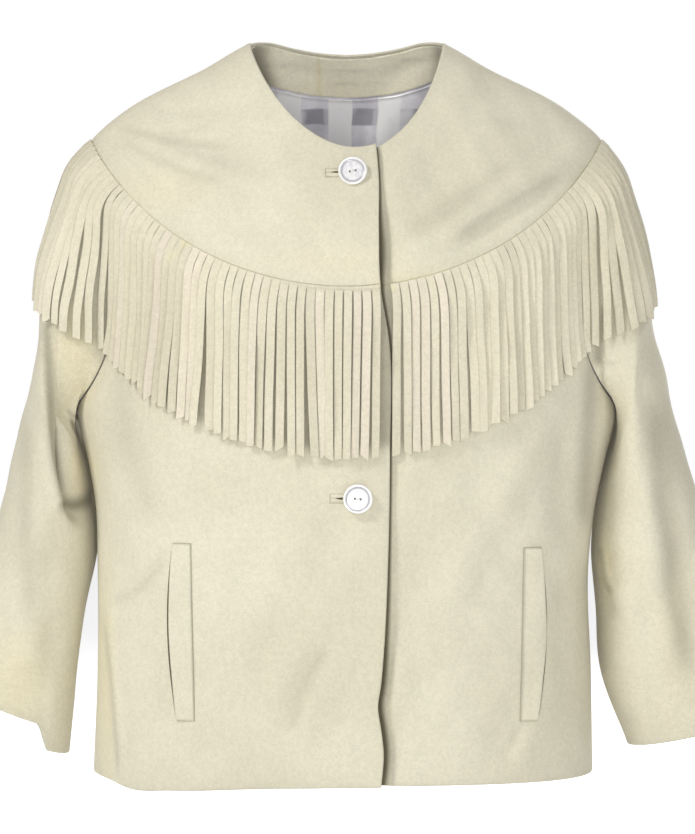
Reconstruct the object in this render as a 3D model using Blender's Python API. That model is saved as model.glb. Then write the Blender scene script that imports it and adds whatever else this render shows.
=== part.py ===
# Suede jacket with a round fringed yoke, hollow and filled out as if worn.
# Metres, +Z up. The origin is midway between the two side-neck points, where a wearer's
# shoulders hold the jacket. The front looks along -Y and the wearer's left is at +X.
import math

import bmesh
import bpy
import numpy as np
from mathutils import Vector
from mathutils.bvhtree import BVHTree
from mathutils.kdtree import KDTree

# Cloth and seams
WALL = 0.0018
LINING_WALL = 0.0010
SEAM_GAP = 0.0003
LAID_GAP = 0.0004
# What each piece gives up along its edges, so that two of them leave the seam gap
EDGE_DRAW_IN = 0.6 * SEAM_GAP

# Neck opening: half its width, its middle, its reach to front and back, and its dip in front
NECK_HALF = 0.0865
NECK_MIDDLE = -0.012
NECK_FRONT = 0.073
NECK_BACK = 0.066
NECK_SIDE_TOP = 0.004
NECK_DIPS = {"front": 0.106, "back": 0.005}
NECK_DIP_POWER = 1.45
NECK_DIP_SHIFT = 0.0085

# The round yoke seam drops from the shoulder point to the middle of the front and back
SHOULDER_HEIGHT = -0.085
YOKE_DROP = 0.138
YOKE_DROP_POWER = 1.35
YOKE_DROP_ROUND = 0.12
# How steeply the yoke leaves the neck and meets the seam, in degrees below level
YOKE_SLOPES = {"front": (58, 84), "side": (30, 45), "back": (36, 88)}

HEM_HEIGHT = -0.646
# Body sections: height, middle x, half width, reach to the front, reach to the back, squareness
BODY = [
    (-0.646, -0.0030, 0.2220, 0.122, 0.112, 2.6),
    (-0.560, -0.0020, 0.2195, 0.124, 0.110, 2.6),
    (-0.460, -0.0030, 0.2185, 0.127, 0.108, 2.6),
    (-0.410, -0.0010, 0.2225, 0.129, 0.109, 2.5),
    (-0.365, 0.0000, 0.2315, 0.130, 0.112, 2.4),
    (-0.330, 0.0000, 0.2400, 0.130, 0.115, 2.3),
    (-0.260, 0.0000, 0.2270, 0.128, 0.117, 2.2),
    (-0.200, 0.0000, 0.2265, 0.125, 0.116, 2.1),
    (-0.130, 0.0000, 0.2275, 0.120, 0.112, 2.0),
    (-0.080, 0.0000, 0.2280, 0.115, 0.108, 2.0),
]

# Armhole, from the corner at the yoke seam to the underarm: share of the way, turn from the
# middle of the front in degrees, height
CORNER_TURN = 60
ARMHOLE = [
    (0.00, 60.0, -0.1311),
    (0.25, 60.5, -0.194),
    (0.50, 61.5, -0.258),
    (0.75, 67.0, -0.307),
    (1.00, 90.0, -0.335),
]
CORNER_ANGLE = 50
# Where the column under the corner meets the hem, in degrees from the middle
CORNER_HEM_TURN = 36
COLUMN_SPREAD_POWER = 3.4
COLUMN_CROWD_POWER = 1.6

# Sleeve rings, each hung between an outer and an inner point: share of the way down, outer x,
# outer z, inner x, inner z, reach to the front, reach to the back, middle y
SLEEVE_RIGHT = [
    (0.00, 0.2280, -0.085, 0.2400, -0.335, 0.070, 0.066, 0.000),
    (0.08, 0.2430, -0.104, 0.2430, -0.3365, 0.071, 0.067, 0.000),
    (0.16, 0.2555, -0.135, 0.2425, -0.3430, 0.071, 0.067, 0.000),
    (0.24, 0.2635, -0.170, 0.2395, -0.3540, 0.070, 0.067, -0.001),
    (0.32, 0.2690, -0.208, 0.2350, -0.3700, 0.069, 0.066, -0.002),
    (0.42, 0.2750, -0.262, 0.2297, -0.3970, 0.067, 0.065, -0.003),
    (0.50, 0.2820, -0.305, 0.2265, -0.4230, 0.065, 0.063, -0.005),
    (0.60, 0.2930, -0.355, 0.2268, -0.458, 0.062, 0.060, -0.007),
    (0.72, 0.3100, -0.420, 0.2330, -0.503, 0.058, 0.056, -0.010),
    (0.86, 0.3350, -0.500, 0.2405, -0.560, 0.055, 0.053, -0.013),
    (1.00, 0.3600, -0.575, 0.2465, -0.622, 0.053, 0.052, -0.015),
]
SLEEVE_LEFT = [
    (0.00, 0.2280, -0.085, 0.2400, -0.335, 0.070, 0.066, 0.000),
    (0.08, 0.2415, -0.104, 0.2430, -0.3365, 0.071, 0.067, 0.000),
    (0.16, 0.2525, -0.135, 0.2425, -0.3430, 0.071, 0.067, 0.000),
    (0.24, 0.2600, -0.170, 0.2395, -0.3540, 0.070, 0.067, -0.001),
    (0.32, 0.2660, -0.208, 0.2350, -0.3700, 0.069, 0.066, -0.002),
    (0.42, 0.2735, -0.255, 0.2290, -0.3970, 0.067, 0.065, -0.003),
    (0.50, 0.2850, -0.298, 0.2255, -0.4230, 0.065, 0.063, -0.005),
    (0.60, 0.2980, -0.350, 0.2222, -0.458, 0.062, 0.060, -0.007),
    (0.72, 0.3160, -0.415, 0.2225, -0.503, 0.058, 0.056, -0.010),
    (0.86, 0.3420, -0.505, 0.2265, -0.560, 0.055, 0.053, -0.013),
    (1.00, 0.3670, -0.595, 0.2500, -0.6235, 0.053, 0.052, -0.015),
]
# The sleeves' inner back, tucked behind the body's side: its turn from the shoulder in degrees
# (below zero is behind), how far it is drawn in, and the shares of the sleeve where it starts,
# is full, ends being full and ends
TUCK_TURN = -145
TUCK_DEPTH = 0.006
TUCK_SHARPNESS = 8
TUCK_SHARES = (0.22, 0.40, 0.58, 0.76)
# The right cuff: its inner end hangs lower than the rest, which steps up at shares of its width
CUFF_RISE = 0.012
CUFF_RISE_STARTS = 0.75
CUFF_STEP = (-0.80, -0.56)
# Share of the sleeve over which the armhole's own curve fades into the plain rings
ARMHOLE_FADE = 0.34

# Front edge of the overlapping right front: height, x
OVERLAP_EDGE = [
    (-0.646, 0.0293),
    (-0.615, 0.0313),
    (-0.596, 0.0291),
    (-0.578, 0.0266),
    (-0.559, 0.0291),
    (-0.528, 0.0317),
    (-0.454, 0.0351),
    (-0.366, 0.0366),
    (-0.268, 0.0358),
    (-0.221, 0.0283),
    (-0.177, 0.0272),
    (-0.133, 0.0276),
    (-0.098, 0.0253),
]
UNDERLAP_X = -0.018
OVERLAP_LIFT = WALL + 0.0012
LIFT_STARTS_X = -0.070
LIFT_FULL_X = -0.026

# Grid: columns across the cap of the sleeve, the side of the armhole and the middle of a
# front, rows down the body, the yoke and the sleeve
CAP_COLUMNS = 4
ARM_COLUMNS = 7
FRONT_COLUMNS = 7
BODY_ROWS = 15
YOKE_ROWS = 5
SLEEVE_ROWS = 16

# Fringe: cut strips along the yoke seam
STRIP_LENGTH = 0.145
STRIP_PITCH = 0.0076
STRIP_WIDTH = 0.0068
STRIP_THICK = 0.0012
BAND_DEPTH = 0.0045
STRIP_CLEAR = 0.0011
STRIP_STANDOFF = 0.0034
HANG_OVER = 0.045
STRIP_RINGS = (0.030, 0.080, STRIP_LENGTH)
STRIP_STAGGER = 0.0015
STAGGER_TURN = 2.4
FALL_STEP = 0.005
LOUVRE_LIMIT = 0.8
FRINGE_RIGHT_EDGE_GAP = 0.0006
FRINGE_LEFT_STARTS_X = 0.0368
SEAM_SAMPLES = 600
# Half the width and depth of the oval that the seam follows, seen from above
SEAM_HALF_WIDTH = 0.228
SEAM_HALF_DEPTH = 0.115
# How near the shoulder point strips stop leaning with the seam, as a cosine
SHOULDER_SHARE = 0.45
RAY_START = 0.15

# Neck facing and lining: rows of the back yoke that each covers, and how far they stay off
FACING_ROWS = (0, 1)
LINING_ROWS = (1, YOKE_ROWS)
INSIDE_GAP = 0.0006
INSIDE_EDGE_GAP = 0.002

# Upright welts: x of the middle, top and bottom heights
WELTS = {
    "pocket_welt_right": (-0.1380, -0.440, -0.592),
    "pocket_welt_left": (0.1570, -0.444, -0.593),
}
WELT_COLUMNS = 4
WELT_ROWS = 9
WELT_LEAN = 0.003
WELT_WIDTH = 0.0155
WELT_THICK = 0.0026
WELT_BULGE = 0.0040

# Buttons and bound buttonholes: x, height of the middle, tilt in degrees
BUTTONS = {"button_upper": (0.0059, -0.1245, 14), "button_lower": (0.0100, -0.4015, -6)}
BUTTON_RADIUS = 0.0125
BUTTON_THICK = 0.0036
BUTTON_SIDES = 24
BUTTON_HOLE_RADIUS = 0.0011
BUTTON_HOLE_SPACING = 0.0046
# Radius and height shares of the button's turned profile, from the middle of its face outwards
BUTTON_PROFILE = [
    (0.45, 0.50),
    (0.80, 0.66),
    (0.88, 1.00),
    (0.96, 0.96),
    (1.00, 0.62),
    (0.90, 0.12),
    (0.70, 0.00),
]
HOLE_LENGTH = 0.0235
HOLE_HEIGHT = 0.0085
HOLE_THICK = 0.0010
HOLE_SLIT = 0.0012
# How far the buttonhole runs in under the button, past its middle, as a share of the radius
HOLE_UNDER_BUTTON = 0.2
# Half section of a buttonhole's lips, slit first: share of the half height, of the thickness
HOLE_PROFILE = [
    (HOLE_SLIT / HOLE_HEIGHT, 0.8),
    (0.60, 1.0),
    (1.00, 0.7),
    (1.00, 0.0),
]
HOLE_GROOVE = 0.35

# How high a fold still is at its ends, as a share of its middle
FOLD_ENDS = 0.5
# The largest folds: piece, side of the piece (-1 front, 1 back), start x, z, end x, z, half
# width, height (below zero for a trough)
FOLDS = [
    ("sleeve_right", -1, -0.264, -0.340, -0.247, -0.450, 0.016, -0.006),
    ("sleeve_right", -1, -0.262, -0.470, -0.285, -0.600, 0.018, -0.004),
    ("sleeve_right", 1, -0.262, -0.360, -0.252, -0.480, 0.016, -0.005),
    ("sleeve_right", 1, -0.262, -0.440, -0.292, -0.560, 0.018, -0.004),
    ("sleeve_left", -1, 0.256, -0.320, 0.244, -0.440, 0.015, -0.006),
    ("sleeve_left", -1, 0.246, -0.470, 0.272, -0.530, 0.014, -0.004),
    ("sleeve_left", -1, 0.280, -0.380, 0.310, -0.560, 0.018, -0.004),
    ("sleeve_left", 1, 0.262, -0.360, 0.252, -0.480, 0.016, -0.005),
    ("sleeve_left", 1, 0.264, -0.440, 0.296, -0.570, 0.018, -0.004),
    ("front_right", -1, -0.038, -0.545, -0.050, -0.610, 0.012, -0.003),
    ("front_right", -1, -0.185, -0.440, -0.120, -0.500, 0.018, 0.003),
    ("front_left", -1, 0.135, -0.612, 0.118, -0.640, 0.014, -0.003),
    ("front_left", -1, 0.190, -0.360, 0.205, -0.500, 0.018, -0.003),
    ("back", 1, -0.200, -0.360, -0.120, -0.470, 0.020, -0.005),
    ("back", 1, 0.200, -0.360, 0.120, -0.470, 0.020, -0.005),
    ("back", 1, -0.060, -0.430, -0.080, -0.620, 0.022, -0.004),
    ("back", 1, 0.070, -0.440, 0.085, -0.620, 0.022, -0.004),
    ("yoke_front_left", -1, 0.066, -0.190, 0.195, -0.118, 0.014, 0.003),
    ("yoke_back", 1, -0.150, -0.110, -0.050, -0.190, 0.018, -0.003),
    ("yoke_back", 1, 0.150, -0.110, 0.050, -0.190, 0.018, -0.003),
]

# Colour, roughness of each material
FINISHES = {
    "suede": ((0.76, 0.71, 0.58), 0.92),
    "fringe suede": ((0.80, 0.75, 0.63), 0.92),
    "satin": ((0.62, 0.60, 0.64), 0.35),
    "pearl": ((0.86, 0.85, 0.86), 0.18),
}


def clear_scene():
    for thing in list(bpy.data.objects):
        bpy.data.objects.remove(thing, do_unlink=True)


def material(name):
    """The material of a finish, a new one for each piece."""
    colour, roughness = FINISHES[name]
    made = bpy.data.materials.new(name)
    made.use_nodes = True
    shader = made.node_tree.nodes["Principled BSDF"]
    shader.inputs["Base Color"].default_value = (*colour, 1)
    shader.inputs["Roughness"].default_value = roughness
    shader.inputs["Metallic"].default_value = 0
    return made


def add_mesh(name, points, faces, finish):
    """One closed body from points and faces, shaded smooth but for its cut edges."""
    mesh = bpy.data.meshes.new(name)
    mesh.from_pydata([tuple(p) for p in points], [], faces)
    mesh.materials.append(material(finish))
    mesh.shade_smooth()
    mesh.set_sharp_from_angle(angle=math.radians(50))
    thing = bpy.data.objects.new(name, mesh)
    bpy.context.scene.collection.objects.link(thing)
    return thing


def smooth(rows, at):
    """The later columns of a table, read smoothly at values of its first column."""
    rows = np.array(rows, float)
    keys, values = rows[:, 0], rows[:, 1:]
    slopes = np.gradient(values, keys, axis=0)
    at = np.clip(np.asarray(at, float), keys[0], keys[-1])
    i = np.clip(np.searchsorted(keys, at) - 1, 0, len(keys) - 2)
    gap = (keys[i + 1] - keys[i])[..., None]
    u = (at - keys[i])[..., None] / gap
    start = (1 + 2 * u) * (1 - u) ** 2 * values[i] + u * (1 - u) ** 2 * gap * slopes[i]
    end = u * u * (3 - 2 * u) * values[i + 1] + u * u * (u - 1) * gap * slopes[i + 1]
    return start + end


def ease(share):
    """A share from 0 to 1, with a soft start and end."""
    share = np.clip(share, 0, 1)
    return share * share * (3 - 2 * share)


def unit(vectors):
    return vectors / np.linalg.norm(vectors, axis=-1, keepdims=True)


def body_surface(turn, height):
    """Outer points of the body at turns from the middle of the front and at heights."""
    middle, half_width, front, back, square = np.moveaxis(smooth(BODY, height), -1, 0)
    sine, cosine = np.sin(turn), np.cos(turn)
    depth = np.where(cosine > 0, front, back)
    reach = (np.abs(sine) ** square + np.abs(cosine) ** square) ** (-1 / square)
    x, y = middle + reach * half_width * sine, -reach * depth * cosine
    return np.stack(np.broadcast_arrays(x, y, height), axis=-1)


def seam_height(turn):
    rounded = np.hypot(np.cos(turn), YOKE_DROP_ROUND) - YOKE_DROP_ROUND
    share = rounded / (math.hypot(1, YOKE_DROP_ROUND) - YOKE_DROP_ROUND)
    return SHOULDER_HEIGHT - YOKE_DROP * share**YOKE_DROP_POWER


def seam_point(turn):
    turn = np.asarray(turn, float)
    return body_surface(turn, seam_height(turn))


def neck_point(turn):
    sine, cosine = np.sin(turn), np.cos(turn)
    front = cosine > 0
    x = NECK_HALF * sine + np.where(front, NECK_DIP_SHIFT, 0) * cosine**2
    y = NECK_MIDDLE - np.where(front, NECK_FRONT, NECK_BACK) * cosine
    dip = np.where(front, NECK_DIPS["front"], NECK_DIPS["back"])
    return np.stack([x, y, NECK_SIDE_TOP - dip * np.abs(cosine) ** NECK_DIP_POWER], axis=-1)


def yoke_surface(turn, share):
    """Outer points of the yoke, from the neck at share 0 to its seam at share 1."""
    turn, share = np.broadcast_arrays(np.asarray(turn, float), np.asarray(share, float))
    start, end = neck_point(turn), seam_point(turn)
    side = (np.sin(turn) ** 2)[..., None]
    middle = np.where(np.cos(turn)[..., None] > 0, YOKE_SLOPES["front"], YOKE_SLOPES["back"])
    slopes = np.radians(side * np.array(YOKE_SLOPES["side"]) + (1 - side) * middle)
    chord = end - start
    length = np.linalg.norm(chord, axis=-1, keepdims=True)
    level = unit(chord * np.array([1, 1, 0]))
    down = np.array([0, 0, -1])
    leave = np.cos(slopes[..., :1]) * level + np.sin(slopes[..., :1]) * down
    meet = np.cos(slopes[..., 1:]) * level + np.sin(slopes[..., 1:]) * down
    first, second = start + leave * length / 3, end - meet * length / 3
    u = share[..., None]
    v = 1 - u
    return v**3 * start + 3 * v * v * u * first + 3 * v * u * u * second + u**3 * end


def turn_at_x(surface, along, x):
    """The turn near the middle of the front at which a surface reaches a value of x."""
    turns = np.radians(np.linspace(-80, 80, 321))
    reached = surface(turns, np.full_like(turns, along))[:, 0]
    return float(np.interp(x, reached, turns))


def edge_turn(surface, along, x_of_height):
    """The turn of a front edge, given as x by height, at one row of a surface."""
    height = surface(np.zeros(1), np.array([along]))[0, 2]
    return turn_at_x(surface, along, x_of_height(height))


def overlap_x(height):
    return float(smooth(OVERLAP_EDGE, height)[0])


def underlap_x(height):
    return UNDERLAP_X


def armhole(share):
    """Turn and height of the front armhole, from the yoke seam down to the underarm."""
    turn, height = np.moveaxis(smooth(ARMHOLE, share), -1, 0)
    corner = math.radians(CORNER_TURN)
    height = height + (1 - ease(share * 4)) * (seam_height(corner) - ARMHOLE[0][2])
    return np.radians(turn), height


def armhole_loop(side, angles):
    """Points round an armhole. Angle 0 is the shoulder, 90 the front and 180 the underarm."""
    angles = np.asarray(angles, float)
    size = np.abs(angles)
    cap_turn = np.radians(90 - (90 - CORNER_TURN) * np.clip(size / CORNER_ANGLE, 0, 1))
    low_turn, low_height = armhole(np.clip((size - CORNER_ANGLE) / (180 - CORNER_ANGLE), 0, 1))
    on_cap = size <= CORNER_ANGLE
    turn = np.where(on_cap, cap_turn, low_turn)
    height = np.where(on_cap, seam_height(cap_turn), low_height)
    turn = np.where(angles >= 0, turn, math.pi - turn)
    return body_surface(side * turn, height)


def sleeve_surface(side, angles, share):
    """Outer points of a sleeve round angles and down shares of its length."""
    angles, share = np.broadcast_arrays(np.asarray(angles, float), np.asarray(share, float))
    rows = SLEEVE_RIGHT if side < 0 else SLEEVE_LEFT

    def plain(at):
        columns = np.moveaxis(smooth(rows, at), -1, 0)
        outer_x, outer_z, inner_x, inner_z, front, back, middle = columns
        cosine, sine = np.cos(np.radians(angles)), np.sin(np.radians(angles))
        x = (outer_x + inner_x) / 2 + (outer_x - inner_x) / 2 * cosine
        z = (outer_z + inner_z) / 2 + (outer_z - inner_z) / 2 * cosine
        y = middle - np.where(sine > 0, front, back) * sine
        starts, full, leaves, ends = TUCK_SHARES
        held = ease((at - starts) / (full - starts)) * ease((ends - at) / (ends - leaves))
        behind = np.clip(np.cos(np.radians(angles - TUCK_TURN)), 0, 1) ** TUCK_SHARPNESS
        x = x - TUCK_DEPTH * behind * held
        if side < 0:
            step = ease((cosine - CUFF_STEP[0]) / (CUFF_STEP[1] - CUFF_STEP[0]))
            z = z + CUFF_RISE * step * ease((at - CUFF_RISE_STARTS) / (1 - CUFF_RISE_STARTS))
        return np.stack([side * x, y, z], axis=-1)

    left_over = (1 - ease(share / ARMHOLE_FADE))[..., None]
    return plain(share) + left_over * (armhole_loop(side, angles) - plain(np.zeros_like(share)))


def normals_of(grid, ring=False):
    """Outward directions over a grid whose columns run clockwise seen from above."""
    closed = np.concatenate([grid, grid[:1]]) if ring else grid
    start, across, far, down = closed[:-1, :-1], closed[1:, :-1], closed[1:, 1:], closed[:-1, 1:]
    faces = np.cross(far - start, down - across)
    total = np.zeros_like(closed)
    total[:-1, :-1] += faces
    total[1:, :-1] += faces
    total[1:, 1:] += faces
    total[:-1, 1:] += faces
    if ring:
        total[0] += total[-1]
        total = total[:-1]
    return unit(total)


def fold_height(piece, points, normals):
    """How far the folds of a piece lift its points along their outward directions."""
    lifted = np.zeros(points.shape[:-1])
    for owner, face, x0, z0, x1, z1, half_width, height in FOLDS:
        if owner != piece:
            continue
        start, run = np.array([x0, z0]), np.array([x1 - x0, z1 - z0])
        off = points[..., [0, 2]] - start
        along = np.clip((off @ run) / (run @ run), 0, 1)
        away = np.linalg.norm(off - along[..., None] * run, axis=-1)
        taper = FOLD_ENDS + (1 - FOLD_ENDS) * np.sin(np.pi * along)
        facing = ease(face * normals[..., 1] * 2)
        lifted += height * taper * facing * np.exp(-((away / half_width) ** 2))
    return lifted


def edge_fade(shape, ring, rows=2):
    """Zero on a grid's borders and one inside, so that folds leave the seams alone."""
    columns, depth = shape
    down = np.minimum(np.arange(depth), np.arange(depth)[::-1]) / rows
    fade = np.tile(np.clip(down, 0, 1), (columns, 1))
    if not ring:
        across = np.minimum(np.arange(columns), np.arange(columns)[::-1]) / rows
        fade = np.minimum(fade, np.clip(across, 0, 1)[:, None])
    return ease(fade)


class Panel:
    """A piece of cloth as a grid of outer points with their outward directions."""

    def __init__(self, name, grid, ring=False, finish="suede", wall=WALL, lift=None):
        self.name, self.ring, self.finish, self.wall = name, ring, finish, wall
        normals = normals_of(grid, ring)
        folds = fold_height(name, grid, normals) * edge_fade(grid.shape[:2], ring)
        if lift is not None:
            folds = folds + lift
        self.grid = grid + folds[..., None] * normals
        self.normals = normals_of(self.grid, ring)

    def border(self):
        """The grid places on the piece's edges."""
        columns, rows = self.grid.shape[:2]
        places = [(i, j) for i in range(columns) for j in (0, rows - 1)]
        if not self.ring:
            places += [(i, j) for i in (0, columns - 1) for j in range(1, rows - 1)]
        return places

    def faces(self):
        """Outer faces as grid places, wound outwards."""
        columns, rows = self.grid.shape[:2]
        steps = columns if self.ring else columns - 1
        return [
            [(i, j), ((i + 1) % columns, j), ((i + 1) % columns, j + 1), (i, j + 1)]
            for i in range(steps)
            for j in range(rows - 1)
        ]

    def triangles(self):
        """Outer faces cut along the diagonal that stands further out."""
        cut = []
        for a, b, c, d in self.faces():
            outward = self.normals[a] + self.normals[b] + self.normals[c] + self.normals[d]
            across = self.grid[a] + self.grid[c] - self.grid[b] - self.grid[d]
            if np.dot(across, outward) >= 0:
                cut += [[a, b, c], [a, c, d]]
            else:
                cut += [[a, b, d], [b, c, d]]
        return cut

    def draw_in(self, distance):
        """Pulls the edges in by a distance."""
        moved = self.grid.copy()
        columns, rows = self.grid.shape[:2]
        for j, inner in ((0, 1), (rows - 1, rows - 2)):
            moved[:, j] += unit(self.grid[:, inner] - self.grid[:, j]) * distance
        if not self.ring:
            for i, inner in ((0, 1), (columns - 1, columns - 2)):
                moved[i] += unit(self.grid[inner] - self.grid[i]) * distance
        self.grid = moved

    def build(self):
        columns, rows = self.grid.shape[:2]
        outer = self.grid.reshape(-1, 3)
        inner = (self.grid - self.normals * self.wall).reshape(-1, 3)
        count = len(outer)

        def index(place, layer=0):
            return place[0] * rows + place[1] + layer * count

        def edge_wall(here, there):
            """The wall's cut edge between two places, its diagonal from the higher one."""
            a, b, c, d = index(here), index(here, 1), index(there, 1), index(there)
            if self.grid[here][2] > self.grid[there][2]:
                return [[a, b, c], [a, c, d]]
            return [[a, b, d], [b, c, d]]

        faces = []
        for face in self.triangles():
            faces.append([index(p) for p in face])
            faces.append([index(p, 1) for p in reversed(face)])
        steps = columns if self.ring else columns - 1
        last, end = rows - 1, columns - 1
        for i in range(steps):
            k = (i + 1) % columns
            faces += edge_wall((i, 0), (k, 0))
            faces += edge_wall((k, last), (i, last))
        if not self.ring:
            for j in range(rows - 1):
                faces += edge_wall((0, j + 1), (0, j))
                faces += edge_wall((end, j), (end, j + 1))
        return add_mesh(self.name, np.vstack([outer, inner]), faces, self.finish)


def share_directions(panels):
    """Gives pieces that meet at a point of a seam one common outward direction there."""
    places = [(panel, place) for panel in panels for place in panel.border()]
    tree = KDTree(len(places))
    for k, (panel, place) in enumerate(places):
        tree.insert(panel.grid[place], k)
    tree.balance()
    common = []
    for panel, place in places:
        meeting = [places[k] for _, k, _ in tree.find_range(panel.grid[place], SEAM_GAP / 3)]
        common.append(unit(sum(other.normals[at] for other, at in meeting)))
    for (panel, place), direction in zip(places, common):
        panel.normals[place] = direction


def body_columns(edge_of_row, heights_share):
    """Turn and height of a front's columns, from its front edge to the side seam.

    edge_of_row gives the turn of the front edge, seen from this side, at a height.
    """
    corner = math.radians(CORNER_TURN)
    turns, heights = [], []
    for k in range(FRONT_COLUMNS + ARM_COLUMNS + 1):
        if k <= FRONT_COLUMNS:
            part = k / FRONT_COLUMNS
            edge = edge_of_row(float(seam_height(0.0)))
            top_turn = edge + (corner - edge) * part
            top_height = float(seam_height(top_turn))
        else:
            part = 1
            turn, height = armhole((k - FRONT_COLUMNS) / ARM_COLUMNS)
            top_turn, top_height = float(turn), float(height)
        low_part = (max(0, k - FRONT_COLUMNS) / ARM_COLUMNS) ** COLUMN_CROWD_POWER
        low_corner = math.radians(CORNER_HEM_TURN)
        low_turn = low_corner + (math.pi / 2 - low_corner) * low_part
        down = top_height + (HEM_HEIGHT - top_height) * heights_share
        spread = 1 - (1 - heights_share) ** COLUMN_SPREAD_POWER
        if k <= FRONT_COLUMNS:
            edges = np.array([edge_of_row(height) for height in down])
            edges[0] = edge
            corner_down = corner + (low_corner - corner) * spread
            turn_down = edges + (corner_down - edges) * part
        else:
            turn_down = top_turn + (low_turn - top_turn) * spread
        turns.append(turn_down)
        heights.append(down)
    return np.array(turns), np.array(heights)


def front_panel(side, x_of_height):
    """A front from its front edge to the side seam; side is -1 for the wearer's right."""

    def edge_of_row(height):
        return side * turn_at_x(body_surface, height, x_of_height(height))

    shares = np.linspace(0, 1, BODY_ROWS + 1)
    turns, heights = body_columns(edge_of_row, shares)
    grid = body_surface(side * turns, heights)
    return grid if side < 0 else grid[::-1]


def back_panel():
    """The back, from the wearer's right side seam to the left one."""
    shares = np.linspace(0, 1, BODY_ROWS + 1)
    turns, heights = body_columns(lambda height: 0.0, shares)
    right = body_surface(-(math.pi - turns), heights)[::-1]
    left = body_surface(math.pi - turns, heights)
    return np.concatenate([right, left[1:]])


def yoke_turns(edge):
    """Turns of a yoke's columns, from its front edge or the middle of the back to the shoulder."""
    corner = math.radians(CORNER_TURN)
    front = np.linspace(edge, corner, FRONT_COLUMNS + 1)
    return np.concatenate([front, np.linspace(corner, math.pi / 2, CAP_COLUMNS + 1)[1:]])


def yoke_front(side, x_of_height):
    shares = np.linspace(0, 1, YOKE_ROWS + 1)
    seam = float(seam_height(0.0))
    seam_edge = side * turn_at_x(body_surface, seam, x_of_height(seam))
    rows = []
    for share in shares:
        edge = side * edge_turn(yoke_surface, share, x_of_height) if share < 1 else seam_edge
        rows.append(yoke_surface(side * yoke_turns(edge), share))
    grid = np.stack(rows, axis=1)
    return grid if side < 0 else grid[::-1]


def yoke_back():
    shares = np.linspace(0, 1, YOKE_ROWS + 1)[None, :]
    turns = (math.pi - yoke_turns(0.0))[:, None]
    right = yoke_surface(-turns, shares)[::-1]
    left = yoke_surface(turns, shares)
    return np.concatenate([right, left[1:]])


def sleeve_panel(side):
    cap = np.linspace(0, CORNER_ANGLE, CAP_COLUMNS + 1)
    low = np.linspace(CORNER_ANGLE, 180, ARM_COLUMNS + 1)[1:]
    half = np.concatenate([cap, low])
    angles = np.concatenate([half, -half[-2:0:-1]])
    if side < 0:
        angles = -angles
    return sleeve_surface(side, angles[:, None], np.linspace(0, 1, SLEEVE_ROWS + 1)[None, :])


def overlap_lift(grid):
    """How far the overlapping front stands off, so that the other front fits under it."""
    return OVERLAP_LIFT * ease((grid[..., 0] - LIFT_STARTS_X) / (LIFT_FULL_X - LIFT_STARTS_X))


def make_panels():
    lapped = {
        "yoke_front_right": yoke_front(-1, overlap_x),
        "front_right": front_panel(-1, overlap_x),
    }
    plain = {
        "yoke_front_left": yoke_front(1, underlap_x),
        "front_left": front_panel(1, underlap_x),
        "yoke_back": yoke_back(),
        "back": back_panel(),
    }
    panels = [Panel(name, grid, lift=overlap_lift(grid)) for name, grid in lapped.items()]
    panels += [Panel(name, grid) for name, grid in plain.items()]
    panels += [Panel("sleeve_right", sleeve_panel(-1), ring=True)]
    panels += [Panel("sleeve_left", sleeve_panel(1), ring=True)]
    return panels


def outer_tree(panels):
    """A search tree over the outer faces of pieces."""
    points, faces = [], []
    for panel in panels:
        start, rows = len(points), panel.grid.shape[1]
        points += [tuple(p) for p in panel.grid.reshape(-1, 3)]
        faces += [[start + i * rows + j for i, j in face] for face in panel.triangles()]
    return BVHTree.FromPolygons(points, faces)


def height_over(tree, point, level_out):
    """How far a point is outside the cloth, along a level direction that leaves it."""
    start = Vector(point + level_out * RAY_START)
    place, _, _, _ = tree.ray_cast(start, Vector(-level_out))
    if place is None:
        return RAY_START
    return float(np.dot(point - np.array(place), level_out))


def pushed_out(tree, point, level_out, distance):
    """A point, moved out where it is nearer to the cloth than a distance."""
    return point + level_out * max(0.0, distance - height_over(tree, point, level_out))


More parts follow.
